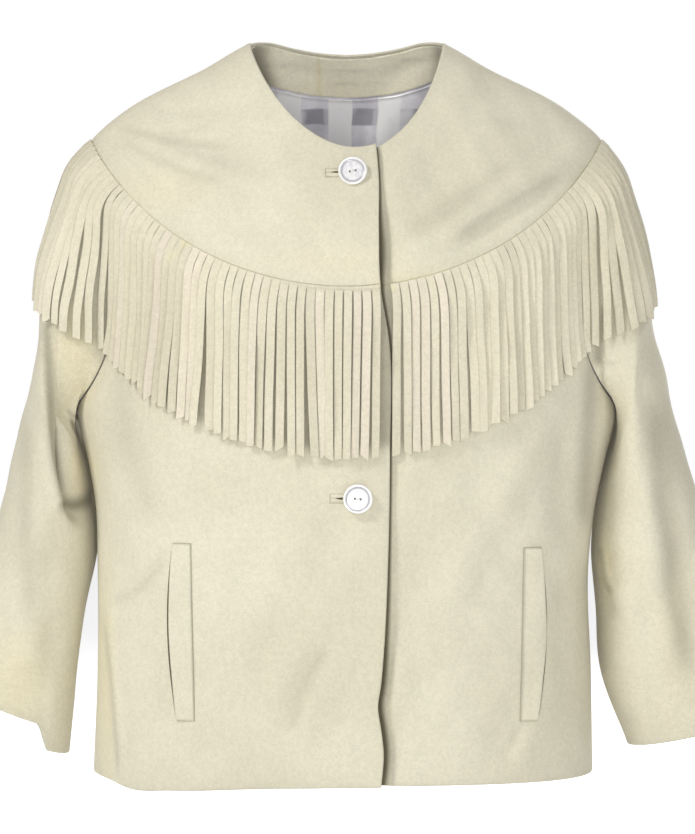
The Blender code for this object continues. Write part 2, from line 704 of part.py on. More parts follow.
class Fringe:
    """A narrow band in the yoke seam with strips cut from its lower edge."""

    def __init__(self, name, turns, lead, tree):
        self.name, self.tree = name, tree
        self.turns = np.linspace(turns[0], turns[1], SEAM_SAMPLES)
        self.line = seam_point(self.turns)
        steps = np.linalg.norm(np.diff(self.line, axis=0), axis=1)
        self.run = np.concatenate([[0], np.cumsum(steps)])
        self.count = int(self.run[-1] // STRIP_PITCH)
        self.first = (self.run[-1] - self.count * STRIP_PITCH) * lead

    def at(self, distance):
        """Point, direction along, level outward and down the cloth along the seam."""

        def place(d):
            return np.array([np.interp(d, self.run, self.line[:, k]) for k in range(3)])

        turn = float(np.interp(distance, self.run, self.turns))
        point = place(distance)
        along = unit(place(distance + STRIP_PITCH / 2) - place(distance - STRIP_PITCH / 2))
        level = [SEAM_HALF_DEPTH * math.sin(turn), -SEAM_HALF_WIDTH * math.cos(turn), 0]
        level_out = unit(np.array(level))
        side = math.sin(turn) ** 2
        slope = math.radians(YOKE_SLOPES["side"][1] * side + 90 * (1 - side))
        down = level_out * math.cos(slope) - np.array([0, 0, math.sin(slope)])
        lean = float(ease(abs(math.cos(turn)) / SHOULDER_SHARE)) * np.dot(down, along)
        return point, along, level_out, unit(down - along * lean)

    def band(self, distance):
        """The four corners of the band's section: top and bottom, outer then inner."""
        point, along, level_out, down = self.at(distance)
        outward = np.cross(along, down)
        outward = outward if np.dot(outward, level_out) > 0 else -outward
        corners = []
        for depth in (SEAM_GAP * 2, BAND_DEPTH):
            inner = pushed_out(self.tree, point + down * depth, level_out, LAID_GAP)
            inner = inner + outward * SEAM_GAP
            corners += [inner + outward * STRIP_THICK, inner]
        return corners

    def strip(self, index, start, end):
        """Sections of a strip below the band: each its left and right, outer then inner."""
        middle = (start + end) / 2
        point, along, outward, down = self.at(middle)
        place = pushed_out(self.tree, point + down * BAND_DEPTH, outward, LAID_GAP + STRIP_THICK / 2)
        steps = round(STRIP_LENGTH / FALL_STEP)
        path, headings = [place], [down]
        for k in range(1, steps + 1):
            hang = float(ease(k * FALL_STEP / HANG_OVER))
            heading = unit(down * (1 - hang) + np.array([0, 0, -1]) * hang)
            clear = LAID_GAP + STRIP_THICK / 2 + (STRIP_STANDOFF - STRIP_THICK) * hang
            step = path[-1] + heading * FALL_STEP
            sides = [step + along * STRIP_WIDTH * side / 2 for side in (-1, 0, 1)]
            short = max(clear - height_over(self.tree, place, outward) for place in sides)
            path.append(step + outward * max(0.0, short))
            headings.append(heading)
        kept = [0] + [round(fall / FALL_STEP) for fall in STRIP_RINGS]
        lifts = np.zeros(len(kept))
        for k, (above, below) in enumerate(zip(kept, kept[1:])):
            for m in range(above + 1, below):
                part = (m - above) / (below - above)
                chord = path[above] * (1 - part) + path[below] * part
                short = float(np.dot(path[m] - chord, outward))
                lifts[k + 1] = max(lifts[k + 1], short if k else short / part)
                lifts[k] = max(lifts[k], short if k else 0.0)
        sections = []
        for k in range(1, len(kept)):
            m = kept[k]
            tip = k == len(kept) - 1
            drop = STRIP_STAGGER * math.sin(index * STAGGER_TURN) if tip else 0.0
            at = path[m] + outward * lifts[k] + headings[m] * drop
            sections.append(self.section(at, along, outward, headings[m]))
        return sections

    def section(self, place, along, outward, heading):
        """A strip's section, turned like a louvre where its neighbours crowd it."""
        pitch = STRIP_PITCH * np.linalg.norm(np.cross(along, heading))
        crowd = np.clip((STRIP_PITCH - pitch) / STRIP_CLEAR, 0, 1)
        louvre = math.asin(min(LOUVRE_LIMIT, (STRIP_THICK + STRIP_CLEAR) / pitch)) * crowd
        across = unit(along - heading * np.dot(along, heading))
        out = unit(np.cross(across, heading))
        out = out if np.dot(out, outward) > 0 else -out
        width = across * math.cos(louvre) + out * math.sin(louvre)
        thick = out * math.cos(louvre) - across * math.sin(louvre)
        wide = min(STRIP_WIDTH, pitch)
        half, deep = width * wide / 2, thick * STRIP_THICK / 2
        inner = [place - half - deep, place + half - deep]
        short = max(LAID_GAP - height_over(self.tree, corner, outward) for corner in inner)
        place = place + out * max(0.0, short)
        return [place - half + deep, place + half + deep, place - half - deep, place + half - deep]

    def build(self):
        points, faces = [], []
        gap = STRIP_PITCH - STRIP_WIDTH
        edges = []
        for k in range(self.count):
            start = self.first + k * STRIP_PITCH + gap / 2
            edges += [start, start + STRIP_WIDTH]
        for distance in edges:
            points += self.band(distance)
        for k in range(len(edges) - 1):
            a, b = 4 * k, 4 * (k + 1)
            faces.append([a, a + 2, b + 2, b])
            faces.append([a + 1, b + 1, b + 3, a + 3])
            faces.append([a, b, b + 1, a + 1])
            between_strips = k % 2 == 1
            if between_strips:
                faces.append([a + 2, a + 3, b + 3, b + 2])
        last = 4 * (len(edges) - 1)
        faces.append([0, 1, 3, 2])
        faces.append([last, last + 2, last + 3, last + 1])
        for k in range(self.count):
            a, b = 8 * k, 8 * k + 4
            above = [a + 2, b + 2, a + 3, b + 3]
            for section in self.strip(k, edges[2 * k], edges[2 * k + 1]):
                start = len(points)
                points += section
                below = [start, start + 1, start + 2, start + 3]
                for p, q in ((0, 1), (1, 3), (3, 2), (2, 0)):
                    faces.append([above[p], below[p], below[q], above[q]])
                above = below
            faces.append([above[0], above[2], above[3], above[1]])
        thing = add_mesh(self.name, points, faces, "fringe suede")
        face_out(thing)
        return thing


def face_out(thing):
    """Makes a closed body's faces look outwards."""
    shape = bmesh.new()
    shape.from_mesh(thing.data)
    bmesh.ops.recalc_face_normals(shape, faces=shape.faces)
    if shape.calc_volume(signed=True) < 0:
        bmesh.ops.reverse_faces(shape, faces=shape.faces)
    shape.to_mesh(thing.data)
    shape.free()


def make_inside(name, yoke, rows, finish, wall):
    """A piece on the inner side of the back yoke, made from some of its rows."""
    kept = slice(rows[0], rows[1] + 1)
    grid = yoke.grid[:, kept] - yoke.normals[:, kept] * (yoke.wall + INSIDE_GAP)
    piece = Panel(name, grid, finish=finish, wall=wall)
    piece.normals = yoke.normals[:, kept].copy()
    piece.draw_in(INSIDE_EDGE_GAP)
    piece.build()


def make_welt(name, middle, top, bottom):
    """An upright welt, made from the points of the front moved out."""
    outward_side = 1 if middle > 0 else -1
    owner = "front_left" if middle > 0 else "front_right"
    rows = np.linspace(top, bottom, WELT_ROWS)
    columns = np.linspace(-1, 1, WELT_COLUMNS)
    grid = np.zeros((len(columns), len(rows), 3))
    for j, height in enumerate(rows):
        part = j / (len(rows) - 1)
        bulge = WELT_BULGE * math.sin(math.pi * part)
        lean = WELT_LEAN * (0.5 - part) * outward_side
        for i, across in enumerate(columns):
            wide = WELT_WIDTH / 2 + (bulge if across * outward_side > 0 else 0)
            turn = turn_at_x(body_surface, height, middle + lean + across * wide)
            grid[i, j] = body_surface(np.array(turn), np.array(height))
    grid = grid[::-1]
    normals = normals_of(grid)
    shape = grid + normals * (fold_height(owner, grid, normals) + LAID_GAP + WELT_THICK)[..., None]
    Panel(name, shape, wall=WELT_THICK).build()


def seat_on(tree, x, height, distance):
    """A place on the front at x and a height, and its frame: across, up and outward."""
    place, normal, _, _ = tree.ray_cast(Vector((x, -1, height)), Vector((0, 1, 0)))
    outward = np.array(normal)
    across = unit(np.cross(np.array([0, 0, 1.0]), outward))
    return np.array(place) + outward * distance, across, np.cross(outward, across), outward


def make_button(name, tree, x, height, tilt):
    """A turned two-hole button with a raised rim and a dished face."""
    place, across, up, outward = seat_on(tree, x, height, LAID_GAP * 2 + HOLE_THICK)
    turn = math.radians(tilt)
    right = across * math.cos(turn) + up * math.sin(turn)
    top = up * math.cos(turn) - across * math.sin(turn)

    def point(radius, angle, level):
        return place + (right * math.cos(angle) + top * math.sin(angle)) * radius + outward * level

    shape = bmesh.new()
    rings = []
    for radius, level in BUTTON_PROFILE:
        angles = [2 * math.pi * k / BUTTON_SIDES for k in range(BUTTON_SIDES)]
        ring = [point(radius * BUTTON_RADIUS, a, level * BUTTON_THICK) for a in angles]
        rings.append([shape.verts.new(p) for p in ring])
    for upper, lower in zip(rings, rings[1:]):
        for k in range(BUTTON_SIDES):
            m = (k + 1) % BUTTON_SIDES
            shape.faces.new([upper[k], lower[k], lower[m], upper[m]])
    shape.faces.new(rings[0])
    shape.faces.new(rings[-1][::-1])
    bmesh.ops.recalc_face_normals(shape, faces=shape.faces)
    mesh = bpy.data.meshes.new(name)
    shape.to_mesh(mesh)
    shape.free()
    mesh.materials.append(material("pearl"))
    mesh.shade_smooth()
    mesh.set_sharp_from_angle(angle=math.radians(40))
    button = bpy.data.objects.new(name, mesh)
    bpy.context.scene.collection.objects.link(button)
    for k in (-1, 1):
        drill = cutter(place + right * k * BUTTON_HOLE_SPACING / 2, outward)
        cut = button.modifiers.new("hole", "BOOLEAN")
        cut.operation = "DIFFERENCE"
        cut.object = drill


def cutter(place, outward):
    """A small round cutter through a button."""
    shape = bmesh.new()
    bmesh.ops.create_cone(
        shape, cap_ends=True, segments=8, radius1=BUTTON_HOLE_RADIUS, radius2=BUTTON_HOLE_RADIUS,
        depth=BUTTON_THICK * 4
    )
    mesh = bpy.data.meshes.new("drill")
    shape.to_mesh(mesh)
    shape.free()
    drill = bpy.data.objects.new("drill", mesh)
    bpy.context.scene.collection.objects.link(drill)
    drill.location = Vector(place)
    drill.rotation_euler = Vector(outward).to_track_quat("Z", "Y").to_euler()
    drill.hide_render = True
    drill.display_type = "WIRE"
    return drill


def make_buttonhole(name, tree, x, height):
    """The two lips of a bound buttonhole, with the slit between them as a groove."""
    right_end = x + BUTTON_RADIUS * HOLE_UNDER_BUTTON
    left_end = right_end - HOLE_LENGTH
    place, across, up, outward = seat_on(tree, (left_end + right_end) / 2, height, LAID_GAP)
    lower = [(-rise, level) for rise, level in HOLE_PROFILE[::-1]]
    profile = lower + [(0, HOLE_GROOVE)] + HOLE_PROFILE
    half, tall = HOLE_LENGTH / 2, HOLE_HEIGHT / 2
    points = [
        place + across * end * half + up * rise * tall + outward * level * HOLE_THICK
        for end in (-1, 1)
        for rise, level in profile
    ]
    count = len(profile)
    faces = [[k, (k + 1) % count, count + (k + 1) % count, count + k] for k in range(count)]
    faces += [list(range(count))[::-1], list(range(count, 2 * count))]
    face_out(add_mesh(name, points, faces, "suede"))


def main():
    clear_scene()
    panels = make_panels()
    share_directions(panels)
    named = {panel.name: panel for panel in panels}
    for panel in panels:
        panel.draw_in(EDGE_DRAW_IN)
        panel.build()
    tree = outer_tree([p for p in panels if not p.name.startswith("yoke")])
    front = outer_tree([named["yoke_front_right"], named["front_right"]])
    seam = float(seam_height(0.0))
    lap = turn_at_x(body_surface, seam, overlap_x(seam) - FRINGE_RIGHT_EDGE_GAP)
    under = turn_at_x(body_surface, seam, FRINGE_LEFT_STARTS_X)
    side = math.pi / 2
    Fringe("fringe_front_right", (lap, -side), 0, tree).build()
    Fringe("fringe_front_left", (side, under), 1, tree).build()
    Fringe("fringe_back", (3 * side, side), 0.5, tree).build()
    make_inside("neck_facing", named["yoke_back"], FACING_ROWS, "suede", WALL)
    make_inside("lining_back", named["yoke_back"], LINING_ROWS, "satin", LINING_WALL)
    for name, (middle, top, bottom) in WELTS.items():
        make_welt(name, middle, top, bottom)
    for name, (x, height, tilt) in BUTTONS.items():
        make_button(name, front, x, height, tilt)
        make_buttonhole(name.replace("button", "buttonhole"), front, x, height)


main()
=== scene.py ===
# Looks of the suede jacket: thin cloth shells on the forms of its solids, cut fringe, pearly
# buttons, bound buttonholes, welts and a satin lining. Metres; the front looks along -Y and the
# wearer's left is at +X.
import math

import bmesh
import bpy
import numpy as np
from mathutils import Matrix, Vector
from mathutils.bvhtree import BVHTree


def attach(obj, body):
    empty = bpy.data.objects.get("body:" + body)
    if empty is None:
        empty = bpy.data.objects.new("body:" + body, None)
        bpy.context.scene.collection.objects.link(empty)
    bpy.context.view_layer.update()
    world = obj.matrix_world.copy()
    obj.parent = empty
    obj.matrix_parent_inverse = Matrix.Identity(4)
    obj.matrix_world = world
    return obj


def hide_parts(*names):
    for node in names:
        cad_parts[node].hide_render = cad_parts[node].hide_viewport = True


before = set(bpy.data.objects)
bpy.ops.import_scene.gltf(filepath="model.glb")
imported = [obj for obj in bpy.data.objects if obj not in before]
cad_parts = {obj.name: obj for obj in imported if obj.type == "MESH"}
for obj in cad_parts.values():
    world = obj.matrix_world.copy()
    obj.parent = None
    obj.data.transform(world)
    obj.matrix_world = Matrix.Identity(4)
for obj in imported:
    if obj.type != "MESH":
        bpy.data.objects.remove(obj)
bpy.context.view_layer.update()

# Picture: its frame, the metres that a pixel spans at the shoulder line, and the camera's place
FRAME_HEIGHT = 834
PIXEL = 0.000895
PICTURE_X = 346.5
PICTURE_Y = 417
CAMERA_X = 0.0009
CAMERA_DISTANCE = 2.2
CAMERA_HEIGHT = -0.333
SENSOR = 24

# Cloth: its wall, and how thick, deep and soon full the wall is where it is turned in at an edge
WALL = 0.0018
TURNED_WALL = 0.0030
TURNED_DEPTH = 0.016
TURNED_FULL = 1.6
# How far in from an edge the suede shows on the inside, and how far its outer side is worn
FACING_DEPTH = 0.030
WEAR_REACH = 0.006
# Gap under a piece that lies on another, and the rounding of seams and of turned edges
LAID_GAP = 0.0004
SEAM_ROUND = 0.0008
TURNED_ROUND = 0.0014
SEAM_DIP = 0.0005
SEAM_DIP_REACH = 0.004
# Finer rows and columns beside an edge, the rough sizes of the panels that place them, and the
# share of a column below which they are left out at the middle of the back
RIM_STEPS = (0.0003, 0.0008, 0.0016, 0.003)
PANEL_LENGTH = 0.42
PANEL_HALF_WIDTH = 0.36
YOKE_HALF_ROUND = 0.30
YOKE_DEPTH = 0.16
NO_RIM_BELOW = 0.9

# Neck opening
NECK_HALF = 0.0865
NECK_MIDDLE = -0.012
NECK_FRONT = 0.073
NECK_BACK = 0.066
NECK_SIDE_TOP = 0.004
NECK_DIPS = {"front": 0.106, "back": 0.005}
NECK_DIP_POWER = 1.45
NECK_DIP_SHIFT = 0.0085
# How the worn neck edge lies off its cut line, by the distance from the side-neck corner, in
# metres and millimetres: behind the corner, and in front of it
NECK_LIFTS = [
    (0.000, -3.7, -3.7),
    (0.012, -1.6, -2.2),
    (0.029, 2.7, -0.6),
    (0.045, 5.2, 0.0),
    (0.067, 3.6, 0.0),
    (0.090, 1.5, 0.0),
    (0.120, 0.0, 0.0),
]
NECK_LIFT_DEPTH = 0.22
SHOULDER_SINK = 0.0040
SHOULDER_SINK_REACH = 0.035
SHOULDER_SINK_DEPTHS = (0.05, 0.30, 0.75)

# Yoke seam
SHOULDER_HEIGHT = -0.085
YOKE_DROP = 0.138
YOKE_DROP_POWER = 1.35
YOKE_DROP_ROUND = 0.12
YOKE_SLOPES = {"front": (58, 84), "side": (30, 45), "back": (36, 88)}

HEM_HEIGHT = -0.646
# Body sections: height, middle x, half width, reach to the front, reach to the back, squareness
BODY = [
    (-0.646, -0.0030, 0.2220, 0.122, 0.112, 2.6),
    (-0.560, -0.0020, 0.2195, 0.124, 0.110, 2.6),
    (-0.460, -0.0030, 0.2185, 0.127, 0.108, 2.6),
    (-0.410, -0.0010, 0.2225, 0.129, 0.109, 2.5),
    (-0.365, 0.0000, 0.2315, 0.130, 0.112, 2.4),
    (-0.330, 0.0000, 0.2400, 0.130, 0.115, 2.3),
    (-0.260, 0.0000, 0.2270, 0.128, 0.117, 2.2),
    (-0.200, 0.0000, 0.2265, 0.125, 0.116, 2.1),
    (-0.130, 0.0000, 0.2275, 0.120, 0.112, 2.0),
    (-0.080, 0.0000, 0.2280, 0.115, 0.108, 2.0),
]

# Armhole: share of the way from the yoke seam to the underarm, turn in degrees, height
CORNER_TURN = 60
ARMHOLE = [
    (0.00, 60.0, -0.1311),
    (0.25, 60.5, -0.194),
    (0.50, 61.5, -0.258),
    (0.75, 67.0, -0.307),
    (1.00, 90.0, -0.335),
]
CORNER_ANGLE = 50
CORNER_HEM_TURN = 36
COLUMN_SPREAD_POWER = 3.4
COLUMN_CROWD_POWER = 1.6

# Sleeve rings: share of the way down, outer x, outer z, inner x, inner z, reach to the front,
# reach to the back, middle y
SLEEVE_RIGHT = [
    (0.00, 0.2280, -0.085, 0.2400, -0.335, 0.070, 0.066, 0.000),
    (0.08, 0.2430, -0.104, 0.2430, -0.3365, 0.071, 0.067, 0.000),
    (0.16, 0.2555, -0.135, 0.2425, -0.3430, 0.071, 0.067, 0.000),
    (0.24, 0.2635, -0.170, 0.2395, -0.3540, 0.070, 0.067, -0.001),
    (0.32, 0.2690, -0.208, 0.2350, -0.3700, 0.069, 0.066, -0.002),
    (0.42, 0.2750, -0.262, 0.2297, -0.3970, 0.067, 0.065, -0.003),
    (0.50, 0.2820, -0.305, 0.2265, -0.4230, 0.065, 0.063, -0.005),
    (0.60, 0.2930, -0.355, 0.2268, -0.458, 0.062, 0.060, -0.007),
    (0.72, 0.3100, -0.420, 0.2330, -0.503, 0.058, 0.056, -0.010),
    (0.86, 0.3350, -0.500, 0.2405, -0.560, 0.055, 0.053, -0.013),
    (1.00, 0.3600, -0.575, 0.2465, -0.622, 0.053, 0.052, -0.015),
]
SLEEVE_LEFT = [
    (0.00, 0.2280, -0.085, 0.2400, -0.335, 0.070, 0.066, 0.000),
    (0.08, 0.2415, -0.104, 0.2430, -0.3365, 0.071, 0.067, 0.000),
    (0.16, 0.2525, -0.135, 0.2425, -0.3430, 0.071, 0.067, 0.000),
    (0.24, 0.2600, -0.170, 0.2395, -0.3540, 0.070, 0.067, -0.001),
    (0.32, 0.2660, -0.208, 0.2350, -0.3700, 0.069, 0.066, -0.002),
    (0.42, 0.2735, -0.255, 0.2290, -0.3970, 0.067, 0.065, -0.003),
    (0.50, 0.2850, -0.298, 0.2255, -0.4230, 0.065, 0.063, -0.005),
    (0.60, 0.2980, -0.350, 0.2222, -0.458, 0.062, 0.060, -0.007),
    (0.72, 0.3160, -0.415, 0.2225, -0.503, 0.058, 0.056, -0.010),
    (0.86, 0.3420, -0.505, 0.2265, -0.560, 0.055, 0.053, -0.013),
    (1.00, 0.3670, -0.595, 0.2500, -0.6235, 0.053, 0.052, -0.015),
]
# The sleeves' inner back, tucked behind the body's side: its turn in degrees, how far it is
# drawn in, and the shares of the sleeve where it starts, is full, ends being full and ends
TUCK_TURN = -145
TUCK_DEPTH = 0.006
TUCK_SHARPNESS = 8
TUCK_SHARES = (0.22, 0.40, 0.58, 0.76)
# The right cuff's inner end hangs lower than the rest, which steps up at shares of its width
CUFF_RISE = 0.012
CUFF_RISE_STARTS = 0.75
CUFF_LOBE = 0.009
CUFF_STEP = (-0.76, -0.60)
ARMHOLE_FADE = 0.34

# Front edge of the overlapping right front: height, x
OVERLAP_EDGE = [
    (-0.646, 0.0293),
    (-0.615, 0.0313),
    (-0.596, 0.0291),
    (-0.578, 0.0266),
    (-0.559, 0.0291),
    (-0.528, 0.0317),
    (-0.454, 0.0351),
    (-0.366, 0.0366),
    (-0.268, 0.0358),
    (-0.221, 0.0283),
    (-0.177, 0.0272),
    (-0.133, 0.0276),
    (-0.098, 0.0253),
]
UNDERLAP_X = -0.018
OVERLAP_LIFT = WALL + 0.0012
LIFT_STARTS_X = -0.070
LIFT_FULL_X = -0.026

# How much lower the front's hem hangs at values of x, in metres and millimetres, and the height
# where that starts
HEM_DROPS = [
    (-0.218, 0.0),
    (-0.205, 2.0),
    (-0.190, 6.5),
    (-0.150, 6.0),
    (-0.080, 2.5),
    (0.030, 0.0),
    (0.220, 0.0),
]
HEM_DROP_STARTS = -0.56

# Columns and rows of the solids, and how many finer ones the cloth has for each
CAP_COLUMNS = 4
ARM_COLUMNS = 7
FRONT_COLUMNS = 7
BODY_ROWS = 15
YOKE_ROWS = 5
SLEEVE_ROWS = 16
FINE_COLUMNS = 12
FINE_BACK_COLUMNS = 8
FINE_BODY_ROWS = 8
FINE_YOKE_ROWS = 10
FINE_SLEEVE_ROWS = 8

# Fringe: sizes of its strips, and how they sway, one by one and in groups
STRIP_LENGTH = 0.145
STRIP_PITCH = 0.0076
STRIP_WIDTH = 0.0068
STRIP_THICK = 0.0012
BAND_DEPTH = 0.0045
STRIP_CLEAR = 0.0011
STRIP_LAYER = 0.0012
STRIP_CUT = -0.00025
STRIP_SWAY = 0.010
STRIP_OWN_SWAY = 0.004
STRIP_GROUP_SWAY = 0.0170
STRIP_WANDER = 0.007
WANDER_WAVES = 32
WANDER_OWN = 0.3
SLOW_SPREAD = 0.58
SLOW_WINDOW = 9
GROUP_CHANCE = 0.33
# Twist in degrees, the chance of a strip that is turned further, and by how much
TWIST_SPREAD = 3.5
TWIST_FULL_AT = 1.5
TURNED_CHANCE = 0.045
TURNED_BY = (22, 42)
# How far strips stand off by chance and every second one, in layers
LAYERS = (0.6, 1.1)
LENGTH_SPREAD = 0.0011
WIDTH_SPREAD = 0.00060
SLANT_SPREAD = 0.0007
STRIP_TAPER = 0.07
STRIP_WAVE = 0.0005
STRIP_WAVES = 45
STRIP_CUP = 0.0002
SEAM_TUCK = 0.0004
SMOOTHED_TIMES = 3
# Where the cut between two strips starts and how softly, in depths of their uncut band
CUT_STARTS = 0.6
CUT_SOFT = 0.5
# Spread of the strips' tone, by chance and by group, and the chance and strength of a blush
TONES = (0.75, 0.8)
BLUSH_CHANCE = 0.14
BLUSHES = (0.4, 1)
# Where the strips begin to be broader towards the shoulder, by how much, and its spread
SHOULDER_STARTS = 0.86
SHOULDER_BROAD = 0.55
SHOULDER_SPREAD = (0.3, 1)
STRIP_STANDOFF = 0.0030
HANG_OVER = 0.032
FALL_STEP = 0.005
LOUVRE_LIMIT = 0.36
RIBBON_ACROSS = (-1, -0.84, 0.84, 1)
FRINGE_RIGHT_EDGE_GAP = 0.0006
FRINGE_LEFT_STARTS_X = 0.0368
SEAM_SAMPLES = 600
SEAM_HALF_WIDTH = 0.228
SEAM_HALF_DEPTH = 0.115
SHOULDER_SHARE = 0.45
RAY_START = 0.15

# Neck facing and lining: gap to the yoke, rows, columns that they are shorter by at each end,
# where they step over the turned neck edge, and shares of the yoke's depth, wall and ripple
INSIDE_GAP = 0.0006
INSIDE_ROWS = 40
INSIDE_SHORTER = 3
INSIDE_STEP = (0.008, 0.010)
FACING_SHARES = (0.012, 0.20)
FACING_RIPPLE = 0.0003
LINING_SHARES = (0.205, 0.985)
LINING_WALL = 0.0010
LINING_RIPPLE = 0.0009

# Upright welts: x of the middle, top and bottom heights
WELTS = {
    "pocket_welt_right": (-0.1380, -0.440, -0.592),
    "pocket_welt_left": (0.1570, -0.444, -0.593),
}
WELT_LEAN = 0.003
WELT_WIDTH = 0.0155
WELT_THICK = 0.0026
WELT_BULGE = 0.0040
WELT_BOW_POWER = 0.9
WELT_GRID = (34, 120)
WELT_FLAT = 0.0007
WELT_FULLNESS = 0.0016
WELT_RIDGE = 0.0005
WELT_ROLL = 0.0013
WELT_BACK = 0.0002
# The dark mouth beside a welt, a sheet of painted shade in the pocket's opening: width, how
# much wider at its middle, how far it is tucked under, its place before the cloth, and its ends and rows
MOUTH_WIDTH = 0.0027
MOUTH_MORE = 0.0020
MOUTH_TUCK = 0.0015
MOUTH_OFF = (0, -0.00025, 0)
MOUTH_SHARES = (0.045, 0.965)
MOUTH_ROWS = 90

# Buttons and bound buttonholes: x, height of the middle, tilt in degrees
BUTTONS = {"button_upper": (0.0059, -0.1245, 14), "button_lower": (0.0100, -0.4015, -6)}
BUTTON_RADIUS = 0.0125
BUTTON_THICK = 0.0036
BUTTON_HOLE_RADIUS = 0.0010
BUTTON_STANDS_OFF = 0.0010
BUTTON_HOLE_SPACING = 0.0044
BUTTON_HOLE_DEPTH = 0.0016
# Bright rim and grey ring of painted shade inside the rim of the button's face, in shares of its radius
RIM_STARTS = 0.80
RIM_FADE = 0.05
RING_RADIUS = 0.75
RING_HALF_WIDTH = 0.07
RING_SHADE_DEPTH = 0.85
# Thread over the button: level in shares of its thickness, sink, arch, radius and flatness
THREAD_LEVEL = 0.52
THREAD_SINK = 0.0009
THREAD_ARCH = 0.0012
THREAD_RADIUS = 0.00042
THREAD_FLATTER = 1.5
# Step over which the slope of the front is felt under a button or buttonhole
SEAT_SPAN = 0.008
# Buttonholes
HOLE_LENGTH = 0.0268
HOLE_HEIGHT = 0.0085
HOLE_THICK = 0.0010
HOLE_UNDER_BUTTON = 0.2
HOLE_GRID = (60, 41)
HOLE_WALL = 0.0003
HOLE_FRAME_SHADE = 0.38
LIPS_END = 0.70
SLIT_DEPTH = 0.0005

# How high a fold of the solids still is at its ends, as a share of its middle
FOLD_ENDS = 0.5
# Folds of the solids: piece, side (-1 front, 1 back), start x, z, end x, z, half width, height
FOLDS = [
    ("sleeve_right", -1, -0.264, -0.340, -0.247, -0.450, 0.016, -0.006),
    ("sleeve_right", -1, -0.262, -0.470, -0.285, -0.600, 0.018, -0.004),
    ("sleeve_right", 1, -0.262, -0.360, -0.252, -0.480, 0.016, -0.005),
    ("sleeve_right", 1, -0.262, -0.440, -0.292, -0.560, 0.018, -0.004),
    ("sleeve_left", -1, 0.256, -0.320, 0.244, -0.440, 0.015, -0.006),
    ("sleeve_left", -1, 0.246, -0.470, 0.272, -0.530, 0.014, -0.004),
    ("sleeve_left", -1, 0.280, -0.380, 0.310, -0.560, 0.018, -0.004),
    ("sleeve_left", 1, 0.262, -0.360, 0.252, -0.480, 0.016, -0.005),
    ("sleeve_left", 1, 0.264, -0.440, 0.296, -0.570, 0.018, -0.004),
    ("front_right", -1, -0.038, -0.545, -0.050, -0.610, 0.012, -0.003),
    ("front_right", -1, -0.185, -0.440, -0.120, -0.500, 0.018, 0.003),
    ("front_left", -1, 0.135, -0.612, 0.118, -0.640, 0.014, -0.003),
    ("front_left", -1, 0.190, -0.360, 0.205, -0.500, 0.018, -0.003),
    ("back", 1, -0.200, -0.360, -0.120, -0.470, 0.020, -0.005),
    ("back", 1, 0.200, -0.360, 0.120, -0.470, 0.020, -0.005),
    ("back", 1, -0.060, -0.430, -0.080, -0.620, 0.022, -0.004),
    ("back", 1, 0.070, -0.440, 0.085, -0.620, 0.022, -0.004),
    ("yoke_front_left", -1, 0.066, -0.190, 0.195, -0.118, 0.014, 0.003),
    ("yoke_back", 1, -0.150, -0.110, -0.050, -0.190, 0.018, -0.003),
    ("yoke_back", 1, 0.150, -0.110, 0.050, -0.190, 0.018, -0.003),
]

